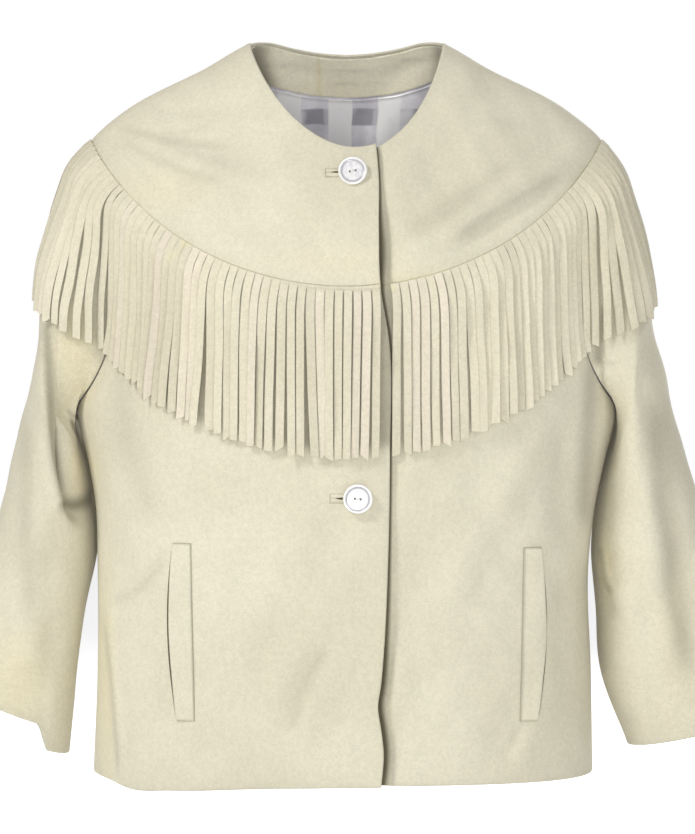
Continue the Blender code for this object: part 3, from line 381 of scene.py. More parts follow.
# Creases of the cloth, seen in the picture: piece, side (-1 front, 1 back), the picture's points
# that one runs through, half width and height in millimetres, below zero for a trough, and how
# much steeper its right flank is
CREASES = [
    ("sleeve_right", -1, [(36, 400), (34, 560), (36, 690)], 12, 2.5, 0.2),
    ("sleeve_right", -1, [(16, 470), (14, 590), (12, 690)], 12, -2.5, 0.0),
    ("sleeve_right", -1, [(60, 560), (56, 620), (56, 700)], 9, -2.0, 0.0),
    ("front_right", -1, [(112, 330), (100, 380), (84, 412)], 5, 2.0, 0.0),
    ("front_right", -1, [(108, 420), (124, 470), (170, 520)], 13, -2.8, 0.0),
    ("front_right", -1, [(166, 555), (140, 590), (109, 612)], 9, -2.6, 0.5),
    ("front_right", -1, [(130, 548), (160, 530), (196, 500)], 10, 2.4, 0.0),
    ("front_right", -1, [(216, 520), (222, 600), (206, 690)], 13, 2.2, 0.3),
    ("front_right", -1, [(328, 640), (304, 688), (290, 735)], 9, -3.0, 0.4),
    ("front_right", -1, [(194, 753), (216, 750), (242, 742)], 5, -1.5, 0.0),
    ("front_right", -1, [(103, 611), (112, 690), (119, 780)], 6, 2.2, 0.5),
    ("front_right", -1, [(250, 480), (262, 540), (258, 600)], 15, -1.6, 0.0),
    ("front_left", -1, [(526, 728), (516, 748), (504, 766)], 6, -2.2, 0.0),
    ("front_left", -1, [(578, 400), (570, 470), (560, 540)], 12, -3.2, 0.0),
    ("front_left", -1, [(575, 560), (566, 640), (576, 730)], 12, -2.2, 0.0),
    ("front_left", -1, [(450, 480), (460, 590), (440, 700)], 16, 1.6, 0.0),
    ("front_left", -1, [(500, 470), (520, 520), (560, 540)], 11, 1.8, 0.0),
    ("front_left", -1, [(420, 500), (412, 600), (420, 720)], 12, -1.6, 0.0),
    ("sleeve_left", -1, [(648, 380), (664, 487), (690, 690)], 15, -4.5, 0.3),
    ("sleeve_left", -1, [(622, 350), (630, 440), (640, 520)], 12, 2.6, 0.0),
    ("sleeve_left", -1, [(598, 566), (606, 600), (618, 622)], 7, -2.6, 0.4),
    ("sleeve_left", -1, [(606, 640), (614, 680), (630, 720)], 9, 1.8, 0.0),
    ("yoke_front_left", -1, [(392, 262), (436, 232), (482, 198)], 8, 3.0, 0.3),
    ("yoke_front_left", -1, [(425, 252), (500, 205), (577, 156)], 8, 3.4, 0.5),
    ("yoke_front_left", -1, [(450, 255), (515, 215), (565, 182)], 7, -2.8, 0.0),
    ("yoke_front_left", -1, [(400, 238), (455, 205), (520, 160)], 9, -2.0, 0.0),
    ("yoke_front_left", -1, [(448, 105), (480, 120), (540, 128)], 9, 1.0, 0.0),
    ("yoke_front_right", -1, [(100, 128), (150, 150), (215, 180)], 6, -1.7, 0.0),
    ("yoke_front_right", -1, [(112, 120), (165, 132), (240, 138)], 6, -1.4, 0.0),
    ("yoke_front_right", -1, [(108, 134), (140, 165), (180, 200)], 5, -1.3, 0.0),
    ("yoke_front_right", -1, [(120, 130), (190, 158), (270, 186)], 7, 1.5, 0.0),
    ("yoke_front_right", -1, [(150, 100), (190, 104), (240, 100)], 7, -1.0, 0.0),
    ("yoke_front_right", -1, [(230, 215), (280, 235), (340, 240)], 12, -1.2, 0.0),
    ("yoke_back", 1, [(130, 140), (200, 175), (290, 200)], 9, -2.2, 0.0),
    ("yoke_back", 1, [(560, 140), (500, 170), (410, 205)], 9, -2.4, 0.0),
    ("yoke_back", 1, [(150, 180), (220, 215), (300, 235)], 8, 1.8, 0.0),
    ("yoke_back", 1, [(520, 180), (470, 220), (400, 240)], 8, 1.7, 0.0),
    ("back", 1, [(120, 330), (180, 420), (210, 520)], 13, -4.0, 0.2),
    ("back", 1, [(580, 320), (520, 410), (500, 540)], 13, -4.0, 0.2),
    ("back", 1, [(160, 350), (215, 450), (236, 560)], 12, 3.0, 0.0),
    ("back", 1, [(545, 340), (485, 440), (470, 560)], 12, 2.8, 0.0),
    ("back", 1, [(230, 480), (250, 600), (240, 740)], 15, 2.6, 0.0),
    ("back", 1, [(470, 500), (450, 620), (470, 740)], 15, 2.4, 0.0),
    ("back", 1, [(330, 470), (345, 600), (335, 750)], 17, -3.0, 0.0),
    ("back", 1, [(150, 640), (160, 700), (150, 770)], 10, -2.2, 0.0),
    ("back", 1, [(400, 620), (408, 700), (398, 775)], 10, -1.8, 0.0),
    ("sleeve_right", 1, [(75, 330), (85, 420), (80, 520)], 9, -6.0, 0.3),
    ("sleeve_right", 1, [(55, 350), (62, 450), (66, 560)], 10, 4.0, 0.0),
    ("sleeve_right", 1, [(30, 470), (28, 580), (24, 680)], 13, -3.0, 0.0),
    ("sleeve_right", 1, [(80, 500), (60, 545), (52, 620)], 8, -3.2, 0.3),
    ("sleeve_left", 1, [(612, 330), (606, 420), (612, 510)], 9, -6.0, 0.3),
    ("sleeve_left", 1, [(632, 350), (628, 450), (634, 560)], 10, 3.8, 0.0),
    ("sleeve_left", 1, [(660, 470), (664, 580), (672, 680)], 13, -3.0, 0.0),
    ("sleeve_left", 1, [(610, 520), (630, 560), (640, 640)], 8, -3.0, 0.3),
]
# Folds with one steep side: piece, side, the picture's points from top to bottom, heights
# before the line and past it, and how far each of them reaches, in millimetres
STEPS = [
    ("sleeve_right", -1, [(41, 300), (49, 400), (53, 446), (61, 486), (77, 536)], 5.0, -10.0, 13, 22),
    ("sleeve_left", -1, [(603, 330), (594, 400), (590, 480), (587, 530)], -2.0, 2.5, 9, 12),
    ("sleeve_left", -1, [(599, 543), (607, 585), (613, 596)], 2.2, -2.4, 6, 10),
    ("sleeve_right", 1, [(66, 380), (72, 450), (88, 520)], 3.0, -5.0, 12, 14),
]
STEP_FLANK = 6.0
# Creases: share of their height at their ends, how soon creases, steps and shades fade at their
# ends, how soon creases and steps are full where the cloth turns to their side, and how sharply
# bulges end
CREASE_END = 0.15
CREASE_FADE = 4
STEP_FADE = 3.5
SHADE_FADE = 6
CREASE_FACING = 2
STEP_FACING = 2.5
BULGE_POWER = 1.3
# How far in from an edge creases and swells are full
CREASE_MARGIN = 0.012
SWELL_MARGIN = 0.03
# Where the body's side and a sleeve nearly touch: x where the body's swells end and the sleeves'
# start, how softly, and the height below which that is so
NARROW_X = (0.216, 0.236)
NARROW_FADE = 0.02
NARROW_BELOW = SHOULDER_HEIGHT - 0.2
# Bulges and hollows: piece, side, middle in the picture, half width, half length, lean from
# upright in degrees, height in millimetres
BULGES = [
    ("sleeve_right", -1, (80, 453), 12, 30, 0, 9.0),
    ("sleeve_right", -1, (84, 508), 15, 13, 20, -8.0),
    ("sleeve_right", -1, (76, 416), 10, 5, 60, -3.5),
    ("front_right", -1, (150, 480), 40, 60, -30, 1.8),
    ("front_left", -1, (545, 640), 26, 70, 0, 1.6),
]

# How far the front edge of the right front and yoke curls forward: height, millimetres
EDGE_CURL = [
    (-0.646, 3.4),
    (-0.600, 2.0),
    (-0.560, 3.0),
    (-0.480, 1.4),
    (-0.400, 0.6),
    (-0.300, 1.0),
    (-0.235, 2.2),
    (-0.200, 4.4),
    (-0.170, 3.6),
    (-0.135, 1.4),
    (-0.098, 0.8),
]
EDGE_CURL_REACH = 0.020
# How far the left front falls back beside that edge: height, millimetres
EDGE_HOLLOW = [
    (-0.646, 7.0),
    (-0.560, 6.5),
    (-0.480, 3.5),
    (-0.400, 2.5),
    (-0.300, 4.5),
    (-0.235, 5.5),
    (-0.200, 9.0),
    (-0.170, 7.5),
    (-0.135, 4.0),
    (-0.098, 2.2),
]
EDGE_HOLLOW_REACH = 0.010

# Soft unevenness of the cloth: waves a metre along x and z, height in millimetres
SWELLS = [
    (9.0, 6.0, 0.9),
    (14.0, -9.0, 0.6),
    (-21.0, 13.0, 0.45),
    (31.0, 17.0, 0.25),
]

# How far in front of the shoulders the front of each kind of piece is
REACHES = {"sleeve": 0.050, "front": 0.115, "back": 0.0, "yoke": 0.080}

# Yellowish tints: middle in the picture, half width, half height, strength
TINTS = [
    ((76, 352), 17, 46, 1.0),
    ((18, 680), 22, 36, 0.8),
    ((106, 690), 7, 90, 0.8),
    ((606, 568), 7, 26, 0.8),
    ((425, 282), 40, 9, 0.7),
    ((84, 470), 14, 24, 0.7),
    ((350, 262), 60, 12, 0.25),
    ((205, 330), 50, 40, 0.25),
    ((150, 190), 50, 18, 0.30),
    ((680, 640), 20, 70, 0.35),
    ((385, 700), 5, 80, 0.3),
]
# Greyish patches, in the same way
GREY_PATCHES = [
    ((232, 168), 26, 12, 0.7),
    ((190, 150), 30, 9, 0.6),
    ((480, 128), 30, 10, 0.5),
    ((410, 205), 16, 16, 0.4),
    ((330, 700), 30, 50, 0.35),
    ((470, 640), 40, 60, 0.3),
    ((150, 690), 24, 60, 0.3),
    ((420, 175), 14, 20, 0.35),
]
PATCH_POWER = 1.5

# Deep shade beside folds and in hollows: piece, the picture's points, half width in pixels,
# strength, and whether it lies mainly past the line
SHADES = [
    ("sleeve_right", [(45, 296), (50, 396), (53, 446), (61, 486), (80, 538)], 5.5, 0.50, True),
    ("sleeve_right", [(47, 350), (50, 396), (53, 446), (61, 486), (70, 520)], 11, 0.22, True),
    ("sleeve_right", [(58, 499), (72, 505), (86, 501), (100, 488)], 8, 0.72, False),
    ("sleeve_right", [(70, 415), (76, 432), (86, 443), (96, 456)], 2.2, 0.75, False),
    ("sleeve_right", [(66, 408), (74, 416), (82, 416)], 2.5, 0.4, False),
    ("sleeve_right", [(26, 400), (28, 520), (29, 640)], 8, 0.16, False),
    ("sleeve_left", [(606, 300), (601, 330), (597, 370)], 6, 0.5, False),
    ("sleeve_left", [(649, 380), (665, 487), (690, 690)], 14, 0.33, False),
    ("sleeve_left", [(599, 543), (607, 585), (614, 598)], 3.5, 0.4, True),
    ("sleeve_left", [(600, 560), (598, 620), (606, 680)], 8, 0.22, False),
    ("front_left", [(601, 330), (592, 380), (587, 440), (584, 540)], 9, 0.33, False),
    ("front_left", [(585, 540), (586, 640), (588, 770)], 10, 0.08, False),
    ("front_right", [(118, 350), (130, 450), (160, 530)], 14, 0.10, False),
    ("front_right", [(166, 553), (140, 588), (110, 604)], 6, 0.12, False),
    ("front_right", [(328, 645), (303, 690), (289, 736)], 6, 0.15, True),
    ("front_right", [(103, 611), (112, 690), (119, 782)], 2.5, 0.18, True),
    ("yoke_front_left", [(452, 240), (500, 208), (566, 170)], 8, 0.17, False),
    ("yoke_front_left", [(400, 236), (455, 203), (520, 158)], 9, 0.12, False),
    ("yoke_front_right", [(113, 124), (170, 140), (240, 150)], 4, 0.08, False),
    ("yoke_front_right", [(112, 132), (160, 160), (230, 185)], 4, 0.08, False),
    ("yoke_front_right", [(108, 128), (150, 134), (215, 128)], 3, 0.07, False),
]

# How far a shade that lies past its line still reaches before it, in pixels
BEFORE_LINE = 5.0

# Width of the shade beside the overlapping edge: height, millimetres
EDGE_SHADES = [
    (-0.646, 4.5),
    (-0.560, 4.2),
    (-0.500, 3.2),
    (-0.440, 2.2),
    (-0.300, 2.2),
    (-0.250, 2.8),
    (-0.225, 3.2),
    (-0.190, 4.8),
    (-0.150, 2.2),
    (-0.098, 1.8),
]
# That shade's number at the edge, the numbers where it begins and is full, and its strength
UNDER_AT_EDGE = 10
UNDER_SHADE = (8.3, 9.6)
UNDER_DEPTH = 0.93

# How far down the fringe shades the cloth behind it, as shares of its length where that is
# full, starts to end and ends, and how much, by the start of the piece's name
BEHIND_FRINGE = (0.05, 0.90, 0.99)
BEHIND_FRINGE_SHADE = {"sleeve": 0.20, "front_left": 0.20, "front_right": 0.50, "back": 0.30}

# Marks on the neck facing: middle in the picture, half width, half height, strength
FACING_TINTS = [((319, 77), 1.6, 20, 1.6), ((330, 88), 40, 6, 0.4)]
# Thin grey lines of painted shade in the neck facing's creases
FACING_CREASE_SHADES = [
    ((276, 66), 18, 2, 1.5),
    ((350, 71), 18, 1.5, 1.0),
    ((354, 84), 22, 2, 1.3),
    ((410, 60), 16, 2, 1.0),
]

# Shade in the corners of the neck facing and the lining, in the same way
FACING_SHADES = [((252, 66), 14, 26, 0.75), ((268, 92), 9, 18, 0.45), ((440, 66), 6, 24, 0.30)]

# Yellow mark on the fringe: its line's shape in pixels, and how far in front of the shoulders
# that line is read; below zero spreads it wider over the fringe
STAIN_LINE = [
    (228, 314),
    (246, 299),
    (263, 288),
    (275, 303),
    (294, 317),
    (341, 322.5),
    (360, 321.6),
    (376, 335),
]
STAIN_REACH = -1
STAIN_STEPS = 60
STAIN_HALF_WIDTH = 0.0016

# Suede colours, light and dark; the neck facing's suede is the same suede painted brighter, as painted
# light
SUEDE = ((0.745, 0.705, 0.560), (0.677, 0.637, 0.496))
LIT_FACING_SUEDE = ((0.990, 0.940, 0.740), (0.950, 0.900, 0.700))
FRINGE_SUEDE = ((0.735, 0.688, 0.540), (0.672, 0.625, 0.478))
# Colours laid over them
BLUSH_COLOUR = (0.86, 0.755, 0.655)
STAIN_COLOUR = (0.86, 0.78, 0.40)
YELLOW = (0.82, 0.72, 0.41)
# Greyer patches, and painted shade in the neck facing's creases
GREYING_AND_CREASE_SHADE = (0.47, 0.44, 0.37)
DEEP_SHADE = (0.105, 0.088, 0.050)
# How much brighter a strip is for each unit of its tone, and how much darker edges are
TONE_SPREAD = 0.032
# A strip's edges are darker: painted shade between neighbouring strips, and darker cut edges
STRIP_EDGE_SHADE = 0.24
# The cloth is darker at its worn edges
EDGE_SHADE = 0.07
# Bars of the lining's check: axis, distance, shift, half width, strength, colour
SATIN_BARS = [
    (2, 0.052, -0.24, 0.007, 0.75, (0.26, 0.245, 0.29)),
    (0, 0.046, 0.35, 0.011, 0.95, (0.99, 0.985, 0.97)),
    (0, 0.046, 2.1, 0.0022, 0.7, (0.72, 0.71, 0.74)),
    (2, 0.052, 3.4, 0.0022, 0.5, (0.80, 0.79, 0.80)),
]
# Thread, and painted shade in welt mouths and buttonhole slits, where little light falls: noise
# as scale, detail, roughness and upright stretch, dark and light colour, roughness, strength and depth
# of grain
THREAD_LOOKS = (
    (2500.0, 1.0, 0.5, 2.5), (0.64, 0.624, 0.56), (0.80, 0.78, 0.70), 0.75, 0.4, 0.0002
)
OPENING_LOOKS = (
    (700.0, 2.0, 0.7, 1.0), (0.085, 0.070, 0.040), (0.15, 0.125, 0.075), 0.95, 0.3, 0.0003
)

# Stage: strength of the room's light, floor, whose far part glows and lights the jacket's back, and
# lamps: name, place, size, power, colour
ROOM_LIGHT = 0.27
FLOOR_HALF = 9
FLOOR_HEIGHT = -0.86
FLOOR_GLOW = 0.60
FLOOR_GLOW_STARTS = (0.5, 0.9)
LAMPS_AIM = (0, 0, -0.30)
LAMPS = [
    ("key", (-2.05, -1.65, 1.90), 0.70, 51, (1.0, 0.985, 0.96)),
    ("front", (0.05, -2.30, -0.25), 1.0, 20, (1.0, 0.995, 0.985)),
    ("fill", (2.1, -1.5, 0.7), 1.4, 8, (0.98, 0.99, 1.0)),
    ("back", (0.9, 2.3, 1.0), 1.4, 34, (1.0, 1.0, 1.0)),
]


def clip01(values):
    return np.clip(values, 0, 1)


def smooth(rows, at):
    """The later columns of a table, read smoothly at values of its first column."""
    rows = np.array(rows, float)
    keys, values = rows[:, 0], rows[:, 1:]
    slopes = np.gradient(values, keys, axis=0)
    at = np.clip(np.asarray(at, float), keys[0], keys[-1])
    i = np.clip(np.searchsorted(keys, at) - 1, 0, len(keys) - 2)
    gap = (keys[i + 1] - keys[i])[..., None]
    u = (at - keys[i])[..., None] / gap
    start = (1 + 2 * u) * (1 - u) ** 2 * values[i] + u * (1 - u) ** 2 * gap * slopes[i]
    end = u * u * (3 - 2 * u) * values[i + 1] + u * u * (u - 1) * gap * slopes[i + 1]
    return start + end


def ease(share):
    """A share from 0 to 1, with a soft start and end."""
    share = clip01(share)
    return share * share * (3 - 2 * share)


def unit(vectors):
    return vectors / np.linalg.norm(vectors, axis=-1, keepdims=True)


def in_metres(points, reach):
    """Places in the picture as x and z, on a surface that is so far in front of the shoulders."""
    pixel = PIXEL * (CAMERA_DISTANCE - reach) / CAMERA_DISTANCE
    points = np.array(points, float)
    x = (points[:, 0] - PICTURE_X) * pixel
    z = CAMERA_HEIGHT - (points[:, 1] - PICTURE_Y) * pixel
    return np.stack([x, z], axis=1)


def body_surface(turn, height):
    """Outer points of the body at turns from the middle of the front and at heights."""
    middle, half_width, front, back, square = np.moveaxis(smooth(BODY, height), -1, 0)
    sine, cosine = np.sin(turn), np.cos(turn)
    depth = np.where(cosine > 0, front, back)
    reach = (np.abs(sine) ** square + np.abs(cosine) ** square) ** (-1 / square)
    x, y = middle + reach * half_width * sine, -reach * depth * cosine
    return np.stack(np.broadcast_arrays(x, y, height), axis=-1)


def seam_height(turn):
    rounded = np.hypot(np.cos(turn), YOKE_DROP_ROUND) - YOKE_DROP_ROUND
    share = rounded / (math.hypot(1, YOKE_DROP_ROUND) - YOKE_DROP_ROUND)
    return SHOULDER_HEIGHT - YOKE_DROP * share**YOKE_DROP_POWER


def seam_point(turn):
    turn = np.asarray(turn, float)
    return body_surface(turn, seam_height(turn))


def neck_point(turn):
    sine, cosine = np.sin(turn), np.cos(turn)
    front = cosine > 0
    x = NECK_HALF * sine + np.where(front, NECK_DIP_SHIFT, 0) * cosine**2
    y = NECK_MIDDLE - np.where(front, NECK_FRONT, NECK_BACK) * cosine
    dip = np.where(front, NECK_DIPS["front"], NECK_DIPS["back"])
    return np.stack([x, y, NECK_SIDE_TOP - dip * np.abs(cosine) ** NECK_DIP_POWER], axis=-1)


def yoke_surface(turn, share):
    """Outer points of the yoke, from the neck at share 0 to its seam at share 1."""
    turn, share = np.broadcast_arrays(np.asarray(turn, float), np.asarray(share, float))
    start, end = neck_point(turn), seam_point(turn)
    side = (np.sin(turn) ** 2)[..., None]
    middle = np.where(np.cos(turn)[..., None] > 0, YOKE_SLOPES["front"], YOKE_SLOPES["back"])
    slopes = np.radians(side * np.array(YOKE_SLOPES["side"]) + (1 - side) * middle)
    chord = end - start
    length = np.linalg.norm(chord, axis=-1, keepdims=True)
    level = unit(chord * np.array([1, 1, 0]))
    down = np.array([0, 0, -1])
    leave = np.cos(slopes[..., :1]) * level + np.sin(slopes[..., :1]) * down
    meet = np.cos(slopes[..., 1:]) * level + np.sin(slopes[..., 1:]) * down
    first, second = start + leave * length / 3, end - meet * length / 3
    u = share[..., None]
    v = 1 - u
    return v**3 * start + 3 * v * v * u * first + 3 * v * u * u * second + u**3 * end


def turn_at_x(surface, along, x):
    """The turn near the middle of the front at which a surface reaches a value of x."""
    turns = np.radians(np.linspace(-80, 80, 321))
    reached = surface(turns, np.full_like(turns, along))[:, 0]
    return float(np.interp(x, reached, turns))


def edge_turn(surface, along, x_of_height):
    """The turn of a front edge, given as x by height, at one row of a surface."""
    height = surface(np.zeros(1), np.array([along]))[0, 2]
    return turn_at_x(surface, along, x_of_height(height))


def overlap_x(height):
    return float(smooth(OVERLAP_EDGE, height)[0])


def underlap_x(height):
    """The edge of the left front, upright at every height."""
    return UNDERLAP_X


def armhole(share):
    """Turn and height of the front armhole, from the yoke seam down to the underarm."""
    turn, height = np.moveaxis(smooth(ARMHOLE, share), -1, 0)
    corner = math.radians(CORNER_TURN)
    height = height + (1 - ease(share * 4)) * (seam_height(corner) - ARMHOLE[0][2])
    return np.radians(turn), height


def armhole_loop(side, angles):
    """Points round an armhole. Angle 0 is the shoulder, 90 the front and 180 the underarm."""
    angles = np.asarray(angles, float)
    size = np.abs(angles)
    cap_turn = np.radians(90 - (90 - CORNER_TURN) * clip01(size / CORNER_ANGLE))
    low_turn, low_height = armhole(clip01((size - CORNER_ANGLE) / (180 - CORNER_ANGLE)))
    on_cap = size <= CORNER_ANGLE
    turn = np.where(on_cap, cap_turn, low_turn)
    height = np.where(on_cap, seam_height(cap_turn), low_height)
    turn = np.where(angles >= 0, turn, math.pi - turn)
    return body_surface(side * turn, height)


def sleeve_surface(side, angles, share):
    """Outer points of a sleeve round angles and down shares of its length."""
    angles, share = np.broadcast_arrays(np.asarray(angles, float), np.asarray(share, float))
    rows = SLEEVE_RIGHT if side < 0 else SLEEVE_LEFT

    def plain(at):
        columns = np.moveaxis(smooth(rows, at), -1, 0)
        outer_x, outer_z, inner_x, inner_z, front, back, middle = columns
        cosine, sine = np.cos(np.radians(angles)), np.sin(np.radians(angles))
        x = (outer_x + inner_x) / 2 + (outer_x - inner_x) / 2 * cosine
        z = (outer_z + inner_z) / 2 + (outer_z - inner_z) / 2 * cosine
        y = middle - np.where(sine > 0, front, back) * sine
        starts, full, leaves, ends = TUCK_SHARES
        held = ease((at - starts) / (full - starts)) * ease((ends - at) / (ends - leaves))
        behind = clip01(np.cos(np.radians(angles - TUCK_TURN))) ** TUCK_SHARPNESS
        x = x - TUCK_DEPTH * behind * held
        if side < 0:
            step = ease((cosine - CUFF_STEP[0]) / (CUFF_STEP[1] - CUFF_STEP[0]))
            low = ease((at - CUFF_RISE_STARTS) / (1 - CUFF_RISE_STARTS))
            z = z + (CUFF_RISE * step - CUFF_LOBE * (1 - step)) * low
        return np.stack([side * x, y, z], axis=-1)

    left_over = (1 - ease(share / ARMHOLE_FADE))[..., None]
    return plain(share) + left_over * (armhole_loop(side, angles) - plain(np.zeros_like(share)))


def normals_of(grid, ring=False):
    """Outward directions over a grid whose columns run clockwise seen from above."""
    closed = np.concatenate([grid, grid[:1]]) if ring else grid
    start, across, far, down = closed[:-1, :-1], closed[1:, :-1], closed[1:, 1:], closed[:-1, 1:]
    faces = np.cross(far - start, down - across)
    total = np.zeros_like(closed)
    total[:-1, :-1] += faces
    total[1:, :-1] += faces
    total[1:, 1:] += faces
    total[:-1, 1:] += faces
    if ring:
        total[0] += total[-1]
        total = total[:-1]
    return unit(total)


def rows_of(table, piece):
    """The rows of a table that belong to a piece, without its name."""
    return [row[1:] for row in table if row[0] == piece]


def fade_at_ends(along, steepness):
    """1 along the middle of a line, down to 0 at both of its ends."""
    return ease(along * steepness) * ease((1 - along) * steepness)


def fold_height(piece, points, normals):
    """How far the folds of the solids lift a piece's points along their outward directions."""
    lifted = np.zeros(points.shape[:-1])
    for face, x0, z0, x1, z1, half_width, height in rows_of(FOLDS, piece):
        start, run = np.array([x0, z0]), np.array([x1 - x0, z1 - z0])
        off = points[..., [0, 2]] - start
        along = clip01((off @ run) / (run @ run))
        away = np.linalg.norm(off - along[..., None] * run, axis=-1)
        taper = FOLD_ENDS + (1 - FOLD_ENDS) * np.sin(np.pi * along)
        facing = ease(face * normals[..., 1] * CREASE_FACING)
        lifted += height * taper * facing * np.exp(-((away / half_width) ** 2))
    return lifted


def curve_through(points, steps=24):
    """A smooth line through a few points, by their distance along it."""
    points = np.array(points, float)
    lengths = np.linalg.norm(np.diff(points, axis=0), axis=1)
    keys = np.concatenate([[0], np.cumsum(lengths)])
    rows = np.column_stack([keys / keys[-1], points])
    return smooth(rows, np.linspace(0, 1, steps))


def reach_of(piece):
    """Roughly how far in front of the shoulders a piece's front is."""
    return next(reach for start, reach in REACHES.items() if piece.startswith(start))


def along_line(flat, line):
    """Nearest distance of points to a line, the share along it, and +1 where they are past it."""
    away = np.full(flat.shape[:-1], np.inf)
    along = np.zeros(flat.shape[:-1])
    side = np.zeros(flat.shape[:-1])
    for k, (start, end) in enumerate(zip(line, line[1:])):
        run = end - start
        off = flat - start
        part = clip01((off @ run) / (run @ run))
        gap = off - part[..., None] * run
        near = np.linalg.norm(gap, axis=-1)
        closer = near < away
        away = np.where(closer, near, away)
        along = np.where(closer, (k + part) / (len(line) - 1), along)
        past = np.sign(off[..., 1] * run[0] - off[..., 0] * run[1])
        side = np.where(closer, past, side)
    return away, along, side


def crease_height(piece, points, normals):
    """How far the creases seen in the picture lift the points of a piece."""
    lifted = np.zeros(points.shape[:-1])
    flat = points[..., [0, 2]]
    reach = reach_of(piece)
    for face, through, half_width, height, steeper in rows_of(CREASES, piece):
        away, along, side = along_line(flat, curve_through(in_metres(through, reach)))
        width = half_width / 1000 * np.where(side > 0, 1 / (1 + steeper), 1)
        taper = CREASE_END + (1 - CREASE_END) * fade_at_ends(along, CREASE_FADE)
        facing = ease(face * normals[..., 1] * CREASE_FACING)
        lifted += height / 1000 * taper * facing * np.exp(-((away / width) ** 2))
    for face, through, before, past, before_reach, past_reach in rows_of(STEPS, piece):
        away, along, side = along_line(flat, curve_through(in_metres(through, reach)))
        signed = away * side * 1000
        rise = before * np.exp(-((np.minimum(signed, 0) / before_reach) ** 2))
        fall = past * np.exp(-((np.maximum(signed - STEP_FLANK, 0) / past_reach) ** 2))
        height = rise + (fall - rise) * ease(signed / STEP_FLANK)
        facing = ease(face * normals[..., 1] * STEP_FACING)
        lifted += height / 1000 * fade_at_ends(along, STEP_FADE) * facing
    for face, middle, half_width, half_length, lean, height in rows_of(BULGES, piece):
        off = (flat - in_metres([middle], reach)[0]) / PIXEL
        turn = math.radians(lean)
        across = (off[..., 0] * math.cos(turn) - off[..., 1] * math.sin(turn)) / half_width
        down = (off[..., 0] * math.sin(turn) + off[..., 1] * math.cos(turn)) / half_length
        facing = ease(face * normals[..., 1] * STEP_FACING)
        lifted += height / 1000 * facing * np.exp(-((across**2 + down**2) ** BULGE_POWER))
    return lifted


def swell_height(points, turn):
    """Soft unevenness all over, different on each piece."""
    total = np.zeros(points.shape[:-1])
    for k, (across, down, height) in enumerate(SWELLS):
        phase = turn * (k + 1.7)
        bend = 0.8 * np.sin(points[..., 2] * 11 + phase) + 0.6 * np.sin(points[..., 1] * 17)
        wave = points[..., 0] * across + points[..., 2] * down
        total += height / 1000 * np.sin(2 * math.pi * wave + phase + bend)
    return total


def room_beside(name, grid):
    """1 where a piece may swell, 0 where a sleeve and the body's side nearly touch."""
    out = np.abs(grid[..., 0])
    body_ends, sleeve_starts = NARROW_X
    gap = out - sleeve_starts if name.startswith("sleeve") else body_ends - out
    return np.where(grid[..., 2] < NARROW_BELOW, ease(gap / NARROW_FADE), 1)


def in_picture(points):
    """Places of points in the picture."""
    pixel = PIXEL * (CAMERA_DISTANCE + points[..., 1]) / CAMERA_DISTANCE
    across = PICTURE_X + points[..., 0] / pixel
    down = PICTURE_Y - (points[..., 2] - CAMERA_HEIGHT) / pixel
    return np.stack([across, down], axis=-1)


def patches(points, table, back=False):
    """How strongly the patches of a table lie on points of the jacket's front, or its back."""
    total = np.zeros(points.shape[:-1])
    across, down = np.moveaxis(in_picture(points), -1, 0)
    for (x, y), half_width, half_height, strength in table:
        size = ((across - x) / half_width) ** 2 + ((down - y) / half_height) ** 2
        total += strength * np.exp(-(size**PATCH_POWER) / 2)
    return np.where((points[..., 1] < 0.01) != back, total, 0)


def behind_fringe(name, points):
    """How much the fringe shades points of the cloth behind it."""
    if name.startswith("yoke"):
        return np.zeros(points.shape[:-1])
    turn = np.arctan2(points[..., 0] / SEAM_HALF_WIDTH, -points[..., 1] / SEAM_HALF_DEPTH)
    share = (seam_height(turn) - points[..., 2]) / STRIP_LENGTH
    starts, full, ends = BEHIND_FRINGE
    depth = next(one for start, one in BEHIND_FRINGE_SHADE.items() if name.startswith(start))
    return depth * ease(share / starts) * ease((ends - share) / (ends - full))


def under_edge(name, points):
    """How near points of the left front are to the overlapping edge, in widths of its shade."""
    if name not in ("front_left", "yoke_front_left"):
        return np.zeros(points.shape[:-1])
    edge = smooth(OVERLAP_EDGE, points[..., 2])[..., 0]
    width = smooth(EDGE_SHADES, points[..., 2])[..., 0] / 1000
    return np.maximum(UNDER_AT_EDGE - (points[..., 0] - edge) / width, 0)


def shades_on(name, points):
    """How deep in shade points of a piece's front are, beside its folds and in hollows."""
    deepest = np.zeros(points.shape[:-1])
    upright = np.array([1, -1])
    seen = in_picture(points) * upright
    for through, half_width, strength, past_only in rows_of(SHADES, name):
        away, along, side = along_line(seen, curve_through(np.array(through, float) * upright))
        before = min(half_width, BEFORE_LINE) if past_only else half_width
        depth = strength * fade_at_ends(along, SHADE_FADE)
        half = np.where(side > 0, half_width, before)
        deepest = np.maximum(deepest, depth * np.exp(-((away / half) ** 2)))
    return np.where(points[..., 1] < 0.0, deepest, 0)


def from_borders(grid, ring):
    """Distances of a grid's points from its first and last column and row, in metres."""
    rows = np.linalg.norm(np.diff(grid, axis=1), axis=-1)
    down = np.concatenate([np.zeros_like(grid[:, :1, 0]), np.cumsum(rows, axis=1)], axis=1)
    sides = {"top": down, "bottom": down[:, -1:] - down}
    if not ring:
        columns = np.linalg.norm(np.diff(grid, axis=0), axis=-1)
        across = np.concatenate([np.zeros_like(grid[:1, :, 0]), np.cumsum(columns, axis=0)], axis=0)
        sides["first"] = across
        sides["last"] = across[-1:] - across
    return sides


def coarse_fade(shape, fine, ring):
    """The solids' own fade of their folds, read on the finer grid."""
    columns, rows = shape
    down = np.minimum(np.arange(rows), np.arange(rows)[::-1]) / fine[1] / 2
    fade = np.tile(clip01(down), (columns, 1))
    if not ring:
        across = np.minimum(np.arange(columns), np.arange(columns)[::-1]) / fine[0] / 2
        fade = np.minimum(fade, clip01(across)[:, None])
    return ease(fade)


